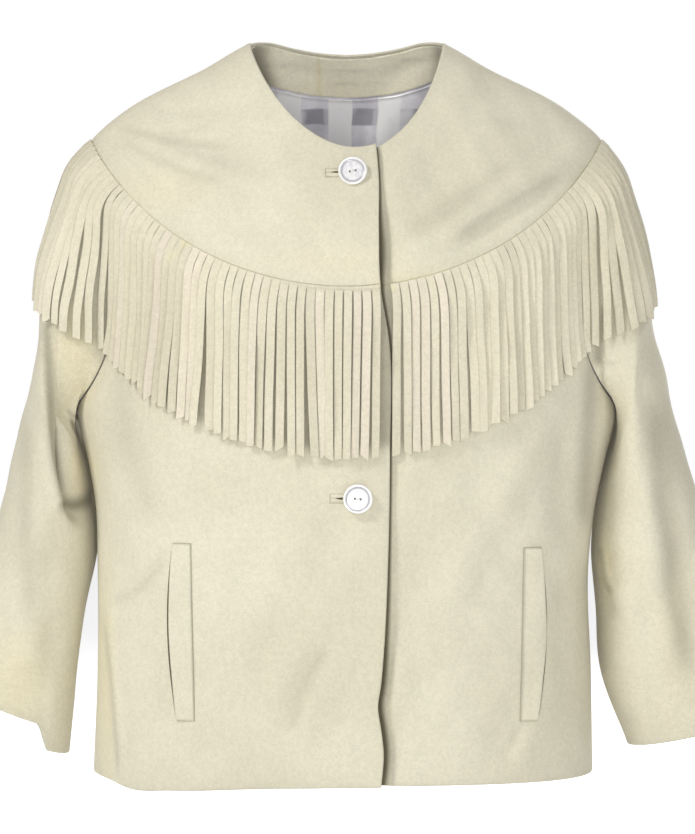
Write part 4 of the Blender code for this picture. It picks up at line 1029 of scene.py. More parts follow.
def with_rims(shares, length):
    """Shares from 0 to 1 with finer ones beside both ends, for rounded edges."""
    near = np.array(RIM_STEPS) / length
    return np.unique(np.concatenate([shares, near, 1 - near]))


def grid_faces(place):
    """Four-sided faces between neighbours in a grid of point numbers."""
    corners = [place[:-1, :-1], place[1:, :-1], place[1:, 1:], place[:-1, 1:]]
    return np.stack(corners, axis=-1).reshape(-1, 4)


def shell_faces(place, lines):
    """Faces of a grid, of a second one behind it, and of rims that join them along lines."""
    count = place.max() + 1
    front = grid_faces(place)
    rims = [np.stack([a[:-1], a[1:], a[1:] + count, a[:-1] + count], axis=-1) for a in lines]
    return np.concatenate([front, front[:, ::-1] + count, *rims])


def on_both(values, others=0):
    """Values of a grid's points for the grid and the one behind it, then zeros for others."""
    return np.concatenate([values.ravel(), values.ravel(), np.zeros(others)])


class Cloth:
    """A piece of cloth as a fine grid of outer points, with a thickness and rounded edges."""

    def __init__(self, name, grid, turned, ring=False):
        self.name, self.grid, self.turned, self.ring = name, grid, turned, ring
        self.normals = normals_of(grid, ring)
        self.borders = from_borders(grid, ring)
        self.nearest = np.minimum.reduce(list(self.borders.values()))

    def drape(self, fine_rows, lift, seed):
        """Lifts the grid by the solids' folds, by its creases and by its own unevenness."""
        name, grid, normals = self.name, self.grid, self.normals
        fine = (FINE_BACK_COLUMNS if "back" in name else FINE_COLUMNS, fine_rows)
        folds = fold_height(name, grid, normals) * coarse_fade(grid.shape[:2], fine, self.ring)
        creases = crease_height(name, grid, normals) * ease(self.nearest / CREASE_MARGIN)
        swell = swell_height(grid, seed) * ease(self.nearest / SWELL_MARGIN)
        height = folds + (creases + swell * room_beside(name, grid)) + lift
        self.grid = grid + height[..., None] * normals

    def rounded(self):
        """The outer points, sunk beside each edge into a rounded rim."""
        sunk = np.zeros(self.grid.shape[:2])
        for side, distance in self.borders.items():
            turned = side in self.turned
            radius = TURNED_ROUND if turned else SEAM_ROUND
            off = np.clip(radius - distance, 0, radius)
            round_in = radius - np.sqrt(radius**2 - off**2)
            dip = 0.0 if turned else SEAM_DIP * np.exp(-distance / SEAM_DIP_REACH)
            sunk = np.maximum(sunk, round_in + dip)
        return self.grid - self.normals * sunk[..., None]

    def thickness(self):
        """The wall, thicker where it is turned in at an edge."""
        thick = np.full(self.grid.shape[:2], WALL)
        for side in self.turned:
            fold = clip01(ease(1 - self.borders[side] / TURNED_DEPTH) * TURNED_FULL)
            thick = np.maximum(thick, WALL + (TURNED_WALL - WALL) * fold)
        return thick

    def marks(self, outer):
        """The values that the materials read at the outer points."""
        inside = self.name in ("neck_facing", "lining_back")
        facing = self.name == "neck_facing"
        if inside:
            shade = patches(outer, FACING_SHADES, True)
        else:
            shade = np.maximum(shades_on(self.name, outer), behind_fringe(self.name, outer))
        return {
            "wear_and_shade": np.exp(-self.nearest / WEAR_REACH),
            "tint": patches(outer, FACING_TINTS if facing else TINTS, facing),
            "greying_and_crease_shade": patches(outer, FACING_CREASE_SHADES if facing else GREY_PATCHES, facing),
            "shade": shade,
            "under": under_edge(self.name, outer),
        }

    def build(self, materials, wall=None):
        """The shell between the outer points and the inner ones."""
        outer = self.rounded()
        thick = self.thickness() if wall is None else np.full(self.grid.shape[:2], wall)
        inner = self.grid - self.normals * thick[..., None]
        points = np.concatenate([outer.reshape(-1, 3), inner.reshape(-1, 3)])
        place = self.numbers()
        rims = [place[:, 0][::-1], place[:, -1]]
        if not self.ring:
            rims += [place[0], place[-1][::-1]]
        faces = shell_faces(place, rims)
        thing = mesh_object(self.name + "_cloth", points, faces, materials)
        if len(materials) > 1:
            hem = np.minimum.reduce([self.borders[side] for side in self.turned]).ravel()
            quads = grid_faces(place)
            slots = np.zeros(len(faces), int)
            slots[len(quads):2 * len(quads)] = hem[quads].min(axis=1) > FACING_DEPTH
            thing.data.polygons.foreach_set("material_index", slots)
        for label, one in self.marks(outer).items():
            add_values(thing, label, on_both(one))
        return thing

    def numbers(self):
        """The grid of point numbers, closed where the piece goes all round."""
        columns, rows = self.grid.shape[:2]
        place = np.arange(columns * rows).reshape(columns, rows)
        return np.concatenate([place, place[:1]]) if self.ring else place


def mesh_object(name, points, faces, materials):
    """A smooth-shaded object of points and faces."""
    mesh = bpy.data.meshes.new(name)
    faces = faces if isinstance(faces, list) else faces.tolist()
    mesh.from_pydata(np.asarray(points).tolist(), [], faces)
    for one in materials:
        mesh.materials.append(one)
    mesh.shade_smooth()
    mesh.update()
    thing = bpy.data.objects.new(name, mesh)
    bpy.context.scene.collection.objects.link(thing)
    return thing


def add_values(thing, name, values):
    """A number for each point, which the materials read."""
    layer = thing.data.attributes.new(name, "FLOAT", "POINT")
    layer.data.foreach_set("value", np.asarray(values, dtype=np.float32))


def front_turns(side, x_of_height):
    """A reader of the turn of a front's edge by height, seen from that side."""
    heights = np.linspace(HEM_HEIGHT, float(seam_height(0.0)), 160)
    turns = [side * turn_at_x(body_surface, h, x_of_height(h)) for h in heights]
    return lambda height: np.interp(height, heights, turns)


def body_columns(edge_of_row, shares, column_shares):
    """Turn and height of a front's or a half back's columns, from its middle to the side seam."""
    corner, low_corner = math.radians(CORNER_TURN), math.radians(CORNER_HEM_TURN)
    seam = float(seam_height(0.0))
    edge = edge_of_row(seam)
    turns, heights = [], []
    for k in column_shares * (FRONT_COLUMNS + ARM_COLUMNS):
        if k <= FRONT_COLUMNS:
            part = k / FRONT_COLUMNS
            top_turn = edge + (corner - edge) * part
            top_height = float(seam_height(top_turn))
        else:
            turn, height = armhole((k - FRONT_COLUMNS) / ARM_COLUMNS)
            top_turn, top_height = float(turn), float(height)
        low_part = (max(0, k - FRONT_COLUMNS) / ARM_COLUMNS) ** COLUMN_CROWD_POWER
        low_turn = low_corner + (math.pi / 2 - low_corner) * low_part
        down = top_height + (HEM_HEIGHT - top_height) * shares
        spread = 1 - (1 - shares) ** COLUMN_SPREAD_POWER
        if k <= FRONT_COLUMNS:
            edges = edge_of_row(down)
            edges[0] = edge
            corner_down = corner + (low_corner - corner) * spread
            turn_down = edges + (corner_down - edges) * part
        else:
            turn_down = top_turn + (low_turn - top_turn) * spread
        turns.append(turn_down)
        heights.append(down)
    return np.array(turns), np.array(heights)


def body_shares(fine_columns):
    rows = with_rims(np.linspace(0, 1, BODY_ROWS * FINE_BODY_ROWS + 1), PANEL_LENGTH)
    even = np.linspace(0, 1, (FRONT_COLUMNS + ARM_COLUMNS) * fine_columns + 1)
    return rows, with_rims(even, PANEL_HALF_WIDTH)


def front_grid(side, x_of_height):
    rows, columns = body_shares(FINE_COLUMNS)
    turns, heights = body_columns(front_turns(side, x_of_height), rows, columns)
    grid = body_surface(side * turns, heights)
    drop = smooth(HEM_DROPS, grid[..., 0])[..., 0] / 1000
    low = ease((HEM_DROP_STARTS - grid[..., 2]) / (HEM_DROP_STARTS - HEM_HEIGHT))
    grid[..., 2] -= drop * low
    return grid if side < 0 else grid[::-1]


def without_middle(columns, total):
    """Leaves out the finer columns beside the middle of the back, where there is no edge."""
    return columns[(columns == 0) | (columns > NO_RIM_BELOW / total)]


def back_grid():
    rows, columns = body_shares(FINE_BACK_COLUMNS)
    columns = without_middle(columns, (FRONT_COLUMNS + ARM_COLUMNS) * FINE_BACK_COLUMNS)
    turns, heights = body_columns(lambda height: np.zeros_like(height, dtype=float), rows, columns)
    right = body_surface(-(math.pi - turns), heights)[::-1]
    left = body_surface(math.pi - turns, heights)
    return np.concatenate([right, left[1:]])


def round_neck(grid, depth_shares):
    """A yoke whose neck edge is rolled low at the corners beside the neck and high behind them."""
    tips = np.array([[x, NECK_MIDDLE, NECK_SIDE_TOP] for x in (-NECK_HALF, NECK_HALF)])
    edge = grid[:, :1]
    away = np.linalg.norm(edge[..., None, :] - tips, axis=-1).min(axis=-1)
    lifts = smooth(NECK_LIFTS, away) / 1000
    lift = np.where(edge[..., 1] > NECK_MIDDLE, lifts[..., 0], lifts[..., 1])
    near, full, gone = SHOULDER_SINK_DEPTHS
    deep = ease((depth_shares - near) / (full - near)) * ease((gone - depth_shares) / (gone - full))
    sink = SHOULDER_SINK * np.exp(-((away / SHOULDER_SINK_REACH) ** 2)) * deep
    rise = lift * np.exp(-((depth_shares / NECK_LIFT_DEPTH) ** 2)) - sink
    return grid + rise[..., None] * np.array([0, 0, 1])


def yoke_shares(both_rims):
    fine = FINE_COLUMNS if both_rims else FINE_BACK_COLUMNS
    total = (FRONT_COLUMNS + CAP_COLUMNS) * fine
    columns = with_rims(np.linspace(0, 1, total + 1), YOKE_HALF_ROUND)
    rows = with_rims(np.linspace(0, 1, YOKE_ROWS * FINE_YOKE_ROWS + 1), YOKE_DEPTH)
    return rows, columns if both_rims else without_middle(columns, total)


def yoke_turns(edge, columns):
    """Turns of a yoke's columns, from its front edge or the middle of the back to the shoulder."""
    corner = math.radians(CORNER_TURN)
    k = columns * (FRONT_COLUMNS + CAP_COLUMNS)
    front = edge + (corner - edge) * k / FRONT_COLUMNS
    cap = corner + (math.pi / 2 - corner) * (k - FRONT_COLUMNS) / CAP_COLUMNS
    return np.where(k <= FRONT_COLUMNS, front, cap)


def yoke_front_grid(side, x_of_height):
    shares, columns = yoke_shares(True)
    seam = float(seam_height(0.0))
    seam_edge = side * turn_at_x(body_surface, seam, x_of_height(seam))
    rows = []
    for share in shares:
        edge = side * edge_turn(yoke_surface, share, x_of_height) if share < 1 else seam_edge
        rows.append(yoke_surface(side * yoke_turns(edge, columns), share))
    grid = round_neck(np.stack(rows, axis=1), shares[None, :])
    return grid if side < 0 else grid[::-1]


def yoke_back_grid():
    shares, columns = yoke_shares(False)
    turns = (math.pi - yoke_turns(0.0, columns))[:, None]
    right = yoke_surface(-turns, shares[None, :])[::-1]
    left = yoke_surface(turns, shares[None, :])
    return round_neck(np.concatenate([right, left[1:]]), shares[None, :])


def sleeve_grid(side):
    cap = np.linspace(0, CORNER_ANGLE, CAP_COLUMNS * FINE_COLUMNS + 1)
    low = np.linspace(CORNER_ANGLE, 180, ARM_COLUMNS * FINE_COLUMNS + 1)[1:]
    half = np.concatenate([cap, low])
    angles = np.concatenate([half, -half[-2:0:-1]])
    if side < 0:
        angles = -angles
    shares = with_rims(np.linspace(0, 1, SLEEVE_ROWS * FINE_SLEEVE_ROWS + 1), 0.42)
    return sleeve_surface(side, angles[:, None], shares[None, :])


def overlap_lift(grid):
    """How far the overlapping front stands off, with its front edge curling forward."""
    lift = OVERLAP_LIFT * ease((grid[..., 0] - LIFT_STARTS_X) / (LIFT_FULL_X - LIFT_STARTS_X))
    edge = smooth(OVERLAP_EDGE, grid[..., 2])[..., 0]
    curl = smooth(EDGE_CURL, grid[..., 2])[..., 0] / 1000
    return lift + curl * np.exp(-clip01(edge - grid[..., 0]) / EDGE_CURL_REACH)


def underlap_fall(grid):
    """How far the left front falls back beside the overlapping edge."""
    edge = smooth(OVERLAP_EDGE, grid[..., 2])[..., 0]
    hollow = smooth(EDGE_HOLLOW, grid[..., 2])[..., 0] / 1000
    away = (grid[..., 0] - edge) / EDGE_HOLLOW_REACH
    return -hollow * np.exp(-np.where(away > 0, away, away / 3) ** 2)


def make_cloth(suede, inside):
    """All the panels and sleeves."""
    over, under = overlap_lift, underlap_fall
    yoke, body, arm = FINE_YOKE_ROWS, FINE_BODY_ROWS, FINE_SLEEVE_ROWS
    panels = [
        ("yoke_front_right", yoke_front_grid(-1, overlap_x), ("top", "first"), yoke, over, 1.3),
        ("front_right", front_grid(-1, overlap_x), ("bottom", "first"), body, over, 2.1),
        ("yoke_front_left", yoke_front_grid(1, underlap_x), ("top", "last"), yoke, under, 3.4),
        ("front_left", front_grid(1, underlap_x), ("bottom", "last"), body, under, 4.2),
        ("yoke_back", yoke_back_grid(), ("top",), yoke, None, 5.5),
        ("back", back_grid(), ("bottom",), body, None, 6.1),
        ("sleeve_right", sleeve_grid(-1), ("bottom",), arm, None, 7.7),
        ("sleeve_left", sleeve_grid(1), ("bottom",), arm, None, 8.4),
    ]
    pieces = {}
    for name, grid, turned, fine_rows, lift, seed in panels:
        piece = Cloth(name, grid, turned, name.startswith("sleeve"))
        piece.drape(fine_rows, lift(grid) if lift else 0.0, seed)
        thing = piece.build([suede, inside])
        dress(thing, name)
        pieces[name] = piece
    return pieces


def dress(thing, node):
    """Puts a piece in the place of its solid."""
    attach(thing, "root")
    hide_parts(node)


def outer_tree(pieces):
    """What a ray meets when it comes to these pieces from outside."""
    points, faces = [], []
    for piece in pieces:
        faces += grid_faces(piece.numbers() + len(points)).tolist()
        points += piece.grid.reshape(-1, 3).tolist()
    return BVHTree.FromPolygons(points, faces)


def height_over(tree, point, level_out):
    """How far a point is outside the cloth, along a level direction that leaves it."""
    start = Vector(point + level_out * RAY_START)
    place, _, _, _ = tree.ray_cast(start, Vector(-level_out))
    if place is None:
        return RAY_START
    return float(np.dot(point - np.array(place), level_out))


class Fringe:
    """Cut strips that leave the yoke seam, curve over and hang straight, each its own way."""

    def __init__(self, name, turns, lead, tree, seed, raised=1, loose=1.0):
        self.name, self.tree, self.raised, self.loose = name, tree, raised, loose
        self.random = np.random.default_rng(seed)
        self.turns = np.linspace(turns[0], turns[1], SEAM_SAMPLES)
        self.line = seam_point(self.turns)
        steps = np.linalg.norm(np.diff(self.line, axis=0), axis=1)
        self.run = np.concatenate([[0], np.cumsum(steps)])
        self.count = int(self.run[-1] // STRIP_PITCH)
        self.first = (self.run[-1] - self.count * STRIP_PITCH) * lead
        self.plan()

    def plan(self):
        """Each strip's own sway, twist, layer, length, width and tone."""
        draw, count = self.random, self.count
        free = draw.normal(0, 1, count)
        slow = draw.normal(0, SLOW_SPREAD, count + SLOW_WINDOW - 1)
        slow = np.convolve(slow, np.hanning(SLOW_WINDOW), "valid")
        group = np.cumsum(draw.random(count) < GROUP_CHANCE)
        groups = group[-1] + 1
        leaning = draw.normal(0, 1, groups)[group]
        sway = STRIP_OWN_SWAY * free + STRIP_SWAY * slow + STRIP_GROUP_SWAY * leaning
        self.sway = sway * self.loose
        self.wander = draw.uniform(0, 2 * math.pi, groups)[group] + WANDER_OWN * free
        twist = np.radians(draw.normal(0, TWIST_SPREAD, count))
        turned = draw.random(count) < TURNED_CHANCE
        much = np.radians(draw.choice([-1, 1], count) * draw.uniform(*TURNED_BY, count))
        self.twist = np.where(turned, much, twist)
        self.layer = LAYERS[0] * draw.random(count) + LAYERS[1] * (np.arange(count) % 2)
        self.length = STRIP_LENGTH + draw.normal(0, LENGTH_SPREAD, count)
        width = STRIP_PITCH - STRIP_CUT - np.abs(draw.normal(0, WIDTH_SPREAD, count))
        middles = self.first + (np.arange(count) + 0.5) * STRIP_PITCH
        outward = np.abs(np.sin(np.interp(middles, self.run, self.turns)))
        shoulder = ease((outward - SHOULDER_STARTS) / (1 - SHOULDER_STARTS))
        broader = SHOULDER_BROAD * shoulder * draw.uniform(*SHOULDER_SPREAD, count)
        self.width = width * (1 + broader)
        own = TONES[0] * draw.normal(0, 1, count)
        self.tone = own + TONES[1] * draw.normal(0, 1, groups)[group]
        blushing = draw.random(count) < BLUSH_CHANCE
        self.blush = np.where(blushing, draw.uniform(*BLUSHES, count), 0)
        self.slant = draw.normal(0, SLANT_SPREAD, count)
        self.wave = draw.uniform(0, 2 * math.pi, count)
        self.taper = draw.uniform(0.0, STRIP_TAPER, count)

    def at(self, distance):
        """Point, direction along, level outward and down the cloth along the seam."""

        def place(d):
            return np.array([np.interp(d, self.run, self.line[:, k]) for k in range(3)])

        turn = float(np.interp(distance, self.run, self.turns))
        point = place(distance)
        along = unit(place(distance + STRIP_PITCH / 2) - place(distance - STRIP_PITCH / 2))
        level = [SEAM_HALF_DEPTH * math.sin(turn), -SEAM_HALF_WIDTH * math.cos(turn), 0]
        level_out = unit(np.array(level))
        side = math.sin(turn) ** 2
        slope = math.radians(YOKE_SLOPES["side"][1] * side + 90 * (1 - side))
        down = level_out * math.cos(slope) - np.array([0, 0, math.sin(slope)])
        lean = float(ease(abs(math.cos(turn)) / SHOULDER_SHARE)) * np.dot(down, along)
        return point, along, level_out, unit(down - along * lean)

    def path(self, k):
        """The strip's middle line, with its heading at each step, and the seam's frame."""
        point, along, outward, down = self.at(self.first + (k + 0.5) * STRIP_PITCH)
        steps = round(self.length[k] / FALL_STEP)
        step_length = self.length[k] / steps
        places, headings = [point + down * SEAM_TUCK], [down]
        for m in range(1, steps + 1):
            fall = m * step_length
            hang = float(ease(fall / HANG_OVER))
            heading = unit(down * (1 - hang) + np.array([0, 0, -1]) * hang)
            wander = STRIP_WANDER * math.sin(fall * WANDER_WAVES + self.wander[k])
            heading = unit(heading + along * (self.sway[k] + wander) * hang)
            step = places[-1] + heading * step_length
            stand = STRIP_STANDOFF - STRIP_THICK + STRIP_LAYER * self.layer[k]
            wave = STRIP_WAVE * math.sin(fall * STRIP_WAVES + self.wave[k])
            clear = LAID_GAP + STRIP_THICK / 2 + (stand + wave) * hang
            sides = [step + along * STRIP_WIDTH * side / 2 for side in (-1, 0, 1)]
            short = max(clear - height_over(self.tree, place, outward) for place in sides)
            places.append(step + outward * max(0.0, short))
            headings.append(heading)
        return np.array(places), np.array(headings), along, outward

    def strip(self, k):
        """Sections of a strip, each a closed ring of points, along its smoothed middle line."""
        places, headings, along, outward = self.path(k)
        for _ in range(SMOOTHED_TIMES):
            inner = (places[:-2] + places[2:]) / 4 + places[1:-1] / 2
            places = np.concatenate([places[:1], inner, places[-1:]])
        headings = np.concatenate([headings[:1], unit(places[2:] - places[:-2]), headings[-1:]])
        sections = []
        for m, (place, heading) in enumerate(zip(places, headings)):
            fall = m / (len(places) - 1)
            sections.append(self.section(k, place, along, outward, heading, fall))
        return np.array(sections)

    def section(self, k, place, along, outward, heading, fall):
        """A strip's section, turned like a louvre where its neighbours crowd it."""
        pitch = STRIP_PITCH * np.linalg.norm(np.cross(along, heading))
        crowd = float(clip01((STRIP_PITCH - pitch) / STRIP_CLEAR))
        louvre = math.asin(min(LOUVRE_LIMIT, (STRIP_THICK + STRIP_CLEAR) / pitch)) * crowd
        louvre = louvre * self.raised + self.twist[k] * float(ease(fall * TWIST_FULL_AT))
        across = unit(along - heading * np.dot(along, heading))
        out = unit(np.cross(across, heading))
        out = out if np.dot(out, outward) > 0 else -out
        width = across * math.cos(louvre) + out * math.sin(louvre)
        thick = out * math.cos(louvre) - across * math.sin(louvre)
        below_band = fall * STRIP_LENGTH / BAND_DEPTH
        cut = float(ease((below_band - CUT_STARTS) / CUT_SOFT))
        wide = STRIP_PITCH + cut * (self.width[k] * (1 - self.taper[k] * fall) - STRIP_PITCH)
        cup = STRIP_CUP * math.sin(self.wave[k] * 3 + fall * 5) * cut
        slant = self.slant[k] * (fall == 1)
        front, back = [], []
        for s in RIBBON_ACROSS:
            cupped = thick * cup * (1 - s * s) * 2
            middle = place + width * wide / 2 * s + cupped + heading * slant * s * 2
            front.append(middle + thick * STRIP_THICK / 2)
            back.append(middle - thick * STRIP_THICK / 2)
        if fall:
            corners = (back[0], back[-1])
            short = max(LAID_GAP - height_over(self.tree, one, outward) for one in corners)
            if short > 0:
                front = [p + outward * short for p in front]
                back = [p + outward * short for p in back]
        return front + back[::-1]

    def build(self, material):
        points, faces = [], []
        values = {"tone": [], "blush": [], "wear_and_shade": []}
        half = len(RIBBON_ACROSS)
        # Painted shade at each strip's edges, standing in for the shade between neighbouring strips, and
        # darker cut edges
        cut_edge_shade = ([1] + [0] * (half - 2) + [1]) * 2
        for k in range(self.count):
            sections = self.strip(k)
            place = np.arange(sections.size // 3).reshape(-1, 2 * half) + len(points)
            points.extend(sections.reshape(-1, 3))
            faces += grid_faces(np.concatenate([place, place[:, :1]], axis=1).T).tolist()
            start, end = place[0].tolist(), place[-1].tolist()
            for n in range(half - 1):
                faces.append([end[n], end[n + 1], end[-2 - n], end[-1 - n]])
                faces.append([start[n + 1], start[n], start[-1 - n], start[-2 - n]])
            values["tone"] += [self.tone[k]] * place.size
            values["blush"] += [self.blush[k]] * place.size
            values["wear_and_shade"] += cut_edge_shade * len(sections)
        values["stain"] = stain_near(np.array(points), STAIN_LINE)
        thing = mesh_object(self.name + "_strips", points, faces, [material])
        face_out(thing)
        thing.data.set_sharp_from_angle(angle=math.radians(40))
        for label, one in values.items():
            add_values(thing, label, one)
        dress(thing, self.name)


def stain_near(points, line):
    """How much of a mark lies on points of the front, from the picture's line."""
    line = curve_through(in_metres(line, STAIN_REACH), STAIN_STEPS)
    away = np.linalg.norm(points[:, None, [0, 2]] - line[None], axis=-1).min(axis=1)
    return np.exp(-((away / STAIN_HALF_WIDTH) ** 2)) * (points[:, 1] < 0)


def face_out(thing):
    """Makes a closed body's faces look outwards."""
    shape = bmesh.new()
    shape.from_mesh(thing.data)
    bmesh.ops.recalc_face_normals(shape, faces=shape.faces)
    if shape.calc_volume(signed=True) < 0:
        bmesh.ops.reverse_faces(shape, faces=shape.faces)
    shape.to_mesh(thing.data)
    shape.free()


class Graph:
    """Short calls to build a material's nodes."""

    def __init__(self, name):
        self.material = bpy.data.materials.new(name)
        self.material.use_nodes = True
        self.nodes = self.material.node_tree.nodes
        self.links = self.material.node_tree.links
        self.shader = self.nodes["Principled BSDF"]
        self.place = self.nodes.new("ShaderNodeTexCoord").outputs["Object"]

    def feed(self, value, socket):
        if isinstance(value, bpy.types.NodeSocket):
            self.links.new(value, socket)
        elif isinstance(value, tuple) and len(value) == 3 and socket.type == "RGBA":
            socket.default_value = (*value, 1)
        else:
            socket.default_value = value

    def node(self, kind, settings, inputs, output):
        """A new node with its settings and inputs, and the output that is wanted of it."""
        node = self.nodes.new("ShaderNode" + kind)
        for name, value in settings.items():
            setattr(node, name, value)
        for name, value in inputs.items():
            self.feed(value, node.inputs[name])
        return node.outputs[output]

    def looks(self, inputs):
        """Feeds the material's shader and gives the finished material."""
        for name, value in inputs.items():
            self.feed(value, self.shader.inputs[name])
        return self.material

    def noise(self, scale, detail=3.0, roughness=0.5, place=None, distortion=0.0):
        inputs = {"Vector": place or self.place, "Scale": scale, "Detail": detail}
        inputs.update({"Roughness": roughness, "Distortion": distortion})
        return self.node("TexNoise", {}, inputs, "Fac")

    def stretched(self, scale):
        inputs = {"Vector": self.place, "Scale": scale}
        return self.node("Mapping", {}, inputs, "Vector")

    def axes(self):
        """The place's x, y and z."""
        node = self.nodes.new("ShaderNodeSeparateXYZ")
        self.links.new(self.place, node.inputs[0])
        return node.outputs

    def value(self, name):
        return self.node("Attribute", {"attribute_name": name}, {}, "Fac")

    def math(self, operation, a, b=0.0, c=0.0, clamp=False):
        settings = {"operation": operation, "use_clamp": clamp}
        return self.node("Math", settings, dict(enumerate((a, b, c))), 0)

    def spread(self, value, low, high, to_low=0.0, to_high=1.0):
        settings = {"clamp": True, "interpolation_type": "SMOOTHSTEP"}
        inputs = {"Value": value, "From Min": low, "From Max": high}
        inputs.update({"To Min": to_low, "To Max": to_high})
        return self.node("MapRange", settings, inputs, "Result")

    def mix(self, share, a, b, blend="MIX"):
        settings = {"data_type": "RGBA", "blend_type": blend}
        return self.node("Mix", settings, {"Factor": share, 6: a, 7: b}, 2)

    def over(self, colour, layer, where, strength=1.0, clamp=False):
        """A colour with another laid over it, where a value says and so strongly."""
        return self.mix(self.math("MULTIPLY", where, strength, clamp=clamp), colour, layer)

    def darker(self, shade, where, strength):
        """A brightness, less where a value says and so strongly."""
        return self.math("MULTIPLY", shade, self.math("MULTIPLY_ADD", where, -strength, 1.0))

    def bump(self, height, strength, distance, normal=None):
        inputs = {"Strength": strength, "Distance": distance, "Height": height}
        if normal is not None:
            inputs["Normal"] = normal
        return self.node("Bump", {}, inputs, "Normal")


def suede_material(name, light, dark, strips=False):
    """Napped suede: soft mottling, a fine nap, worn darker edges and a matt sheen, with painted shade
    between the strips, beside folds, in hollows, under the overlapping edge and in the facing's creases.
    """
    graph = Graph(name)
    broad = graph.noise(7.0, 3.0, 0.55)
    mottles = graph.noise(38.0, 4.0, 0.6, distortion=0.6)
    streaks = graph.noise(60.0, 3.0, 0.6, place=graph.stretched((3.5, 3.5, 0.8)))
    nap = graph.noise(950.0, 2.0, 0.7)
    pores = graph.noise(260.0, 3.0, 0.65)
    colour = graph.mix(graph.spread(broad, 0.35, 0.68), dark, light)
    colour = graph.mix(graph.spread(mottles, 0.40, 0.70, 0.0, 0.30), colour, dark)
    colour = graph.mix(graph.spread(streaks, 0.45, 0.75, 0.0, 0.18), colour, light)
    speck = graph.spread(nap, 0.30, 0.70, 0.93, 1.05)
    grain = graph.spread(pores, 0.35, 0.65, 0.965, 1.03)
    shade = graph.math("MULTIPLY", speck, grain)
    if strips:
        shade = graph.darker(shade, graph.value("tone"), -TONE_SPREAD)
        # The strips' edges: painted shade between neighbouring strips, and darker cut edges
        shade = graph.darker(shade, graph.value("wear_and_shade"), STRIP_EDGE_SHADE)
        colour = graph.over(colour, BLUSH_COLOUR, graph.value("blush"), 0.36)
        colour = graph.over(colour, STAIN_COLOUR, graph.value("stain"), 0.5)
    else:
        shade = graph.darker(shade, graph.value("wear_and_shade"), EDGE_SHADE)
        colour = graph.over(colour, YELLOW, graph.value("tint"), 0.34, clamp=True)
        # Greyer patches, and painted shade in the neck facing's creases
        patchy = graph.spread(mottles, 0.35, 0.6, 0.06, 0.22)
        colour = graph.over(colour, GREYING_AND_CREASE_SHADE, graph.value("greying_and_crease_shade"), patchy, clamp=True)
        under = graph.spread(graph.value("under"), *UNDER_SHADE, 0.0, UNDER_DEPTH)
        deep = graph.math("MAXIMUM", graph.value("shade"), under, clamp=True)
        colour = graph.mix(deep, colour, DEEP_SHADE)
    grey = dict.fromkeys(range(3), shade)
    grey = graph.node("CombineColor", {}, grey, 0)
    soft = graph.bump(graph.noise(120.0, 4.0, 0.6), 0.16, 0.0012)
    return graph.looks({
        "Base Color": graph.mix(1.0, colour, grey, "MULTIPLY"),
        "Roughness": graph.spread(mottles, 0.3, 0.7, 0.86, 0.97),
        "Sheen Weight": 0.25,
        "Sheen Roughness": 0.5,
        "Sheen Tint": (1.0, 0.97, 0.88),
        "Specular IOR Level": 0.2,
        "Normal": graph.bump(nap, 0.35, 0.0003, soft),
    })


def satin_material(name, plain=False):
    """Lustrous satin, grey lilac, with a soft check of bars and painted gleams unless plain."""
    graph = Graph(name)
    wobble = graph.math("MULTIPLY_ADD", graph.noise(14.0, 2.0), 0.010, 0.0)
    axes = graph.axes()
    mottles = graph.spread(graph.noise(30.0, 3.0), 0.35, 0.65)
    colour = graph.mix(mottles, (0.62, 0.60, 0.66), (0.86, 0.845, 0.885))
    if not plain:
        for axis, every, shift, half, strength, bar in SATIN_BARS:
            place = graph.math("ADD", axes[axis], wobble)
            turn = graph.math("MULTIPLY_ADD", place, 2 * math.pi / every, shift)
            wave = graph.math("COSINE", turn)
            edge = math.cos(2 * math.pi * half / every)
            on_bar = graph.spread(wave, edge - 0.10, edge + 0.10)
            colour = graph.over(colour, bar, on_bar, strength)
        # Painted highlights: gleams of white where a noise is high
        painted_gleams = graph.noise(26.0, 2.0, place=graph.stretched((1.0, 1.0, 0.5)))
        painted_gleams = graph.spread(painted_gleams, 0.46, 0.62, 0.0, 0.85)
        colour = graph.mix(painted_gleams, colour, (0.96, 0.955, 0.965))
    weave = graph.noise(1500.0, 1.0, place=graph.stretched((1.0, 1.0, 3.0)))
    ripples = graph.noise(36.0, 2.0, 0.5, place=graph.stretched((1.0, 1.0, 0.35)))
    return graph.looks({
        "Base Color": colour,
        "Roughness": graph.spread(graph.noise(80.0, 3.0), 0.3, 0.7, 0.26, 0.38),
        "Sheen Weight": 0.2,
        "Anisotropic": 0.4,
        "Normal": graph.bump(weave, 0.08, 0.0002, graph.bump(ripples, 0.4, 0.004)),
    })


def pearl_material(name):
    """Pearly shell: white with grey-lilac clouds, a bright rim, painted shade in a ring inside the rim
    and in the holes, and a clear gloss.
    """
    graph = Graph(name)
    clouds = graph.noise(210.0, 4.0, 0.6, distortion=1.4)
    fine = graph.noise(900.0, 3.0, 0.6, distortion=0.8)
    colour = graph.mix(graph.spread(clouds, 0.36, 0.62), (0.76, 0.75, 0.79), (0.93, 0.92, 0.925))
    # The ring and the holes are painted shade
    layers = [
        (graph.value("ring"), (0.40, 0.385, 0.415)),
        (graph.spread(fine, 0.55, 0.8, 0.0, 0.35), (0.80, 0.84, 0.83)),
        (graph.value("rim"), (0.95, 0.945, 0.93)),
        (graph.value("hole"), (0.05, 0.045, 0.04)),
    ]
    for where, layer in layers:
        colour = graph.mix(where, colour, layer)
    return graph.looks({
        "Base Color": colour,
        "Roughness": graph.spread(fine, 0.3, 0.7, 0.14, 0.24),
        "Metallic": 0.15,
        "Coat Weight": 0.6,
        "Coat Roughness": 0.08,
        "Normal": graph.bump(clouds, 0.12, 0.0005),
    })


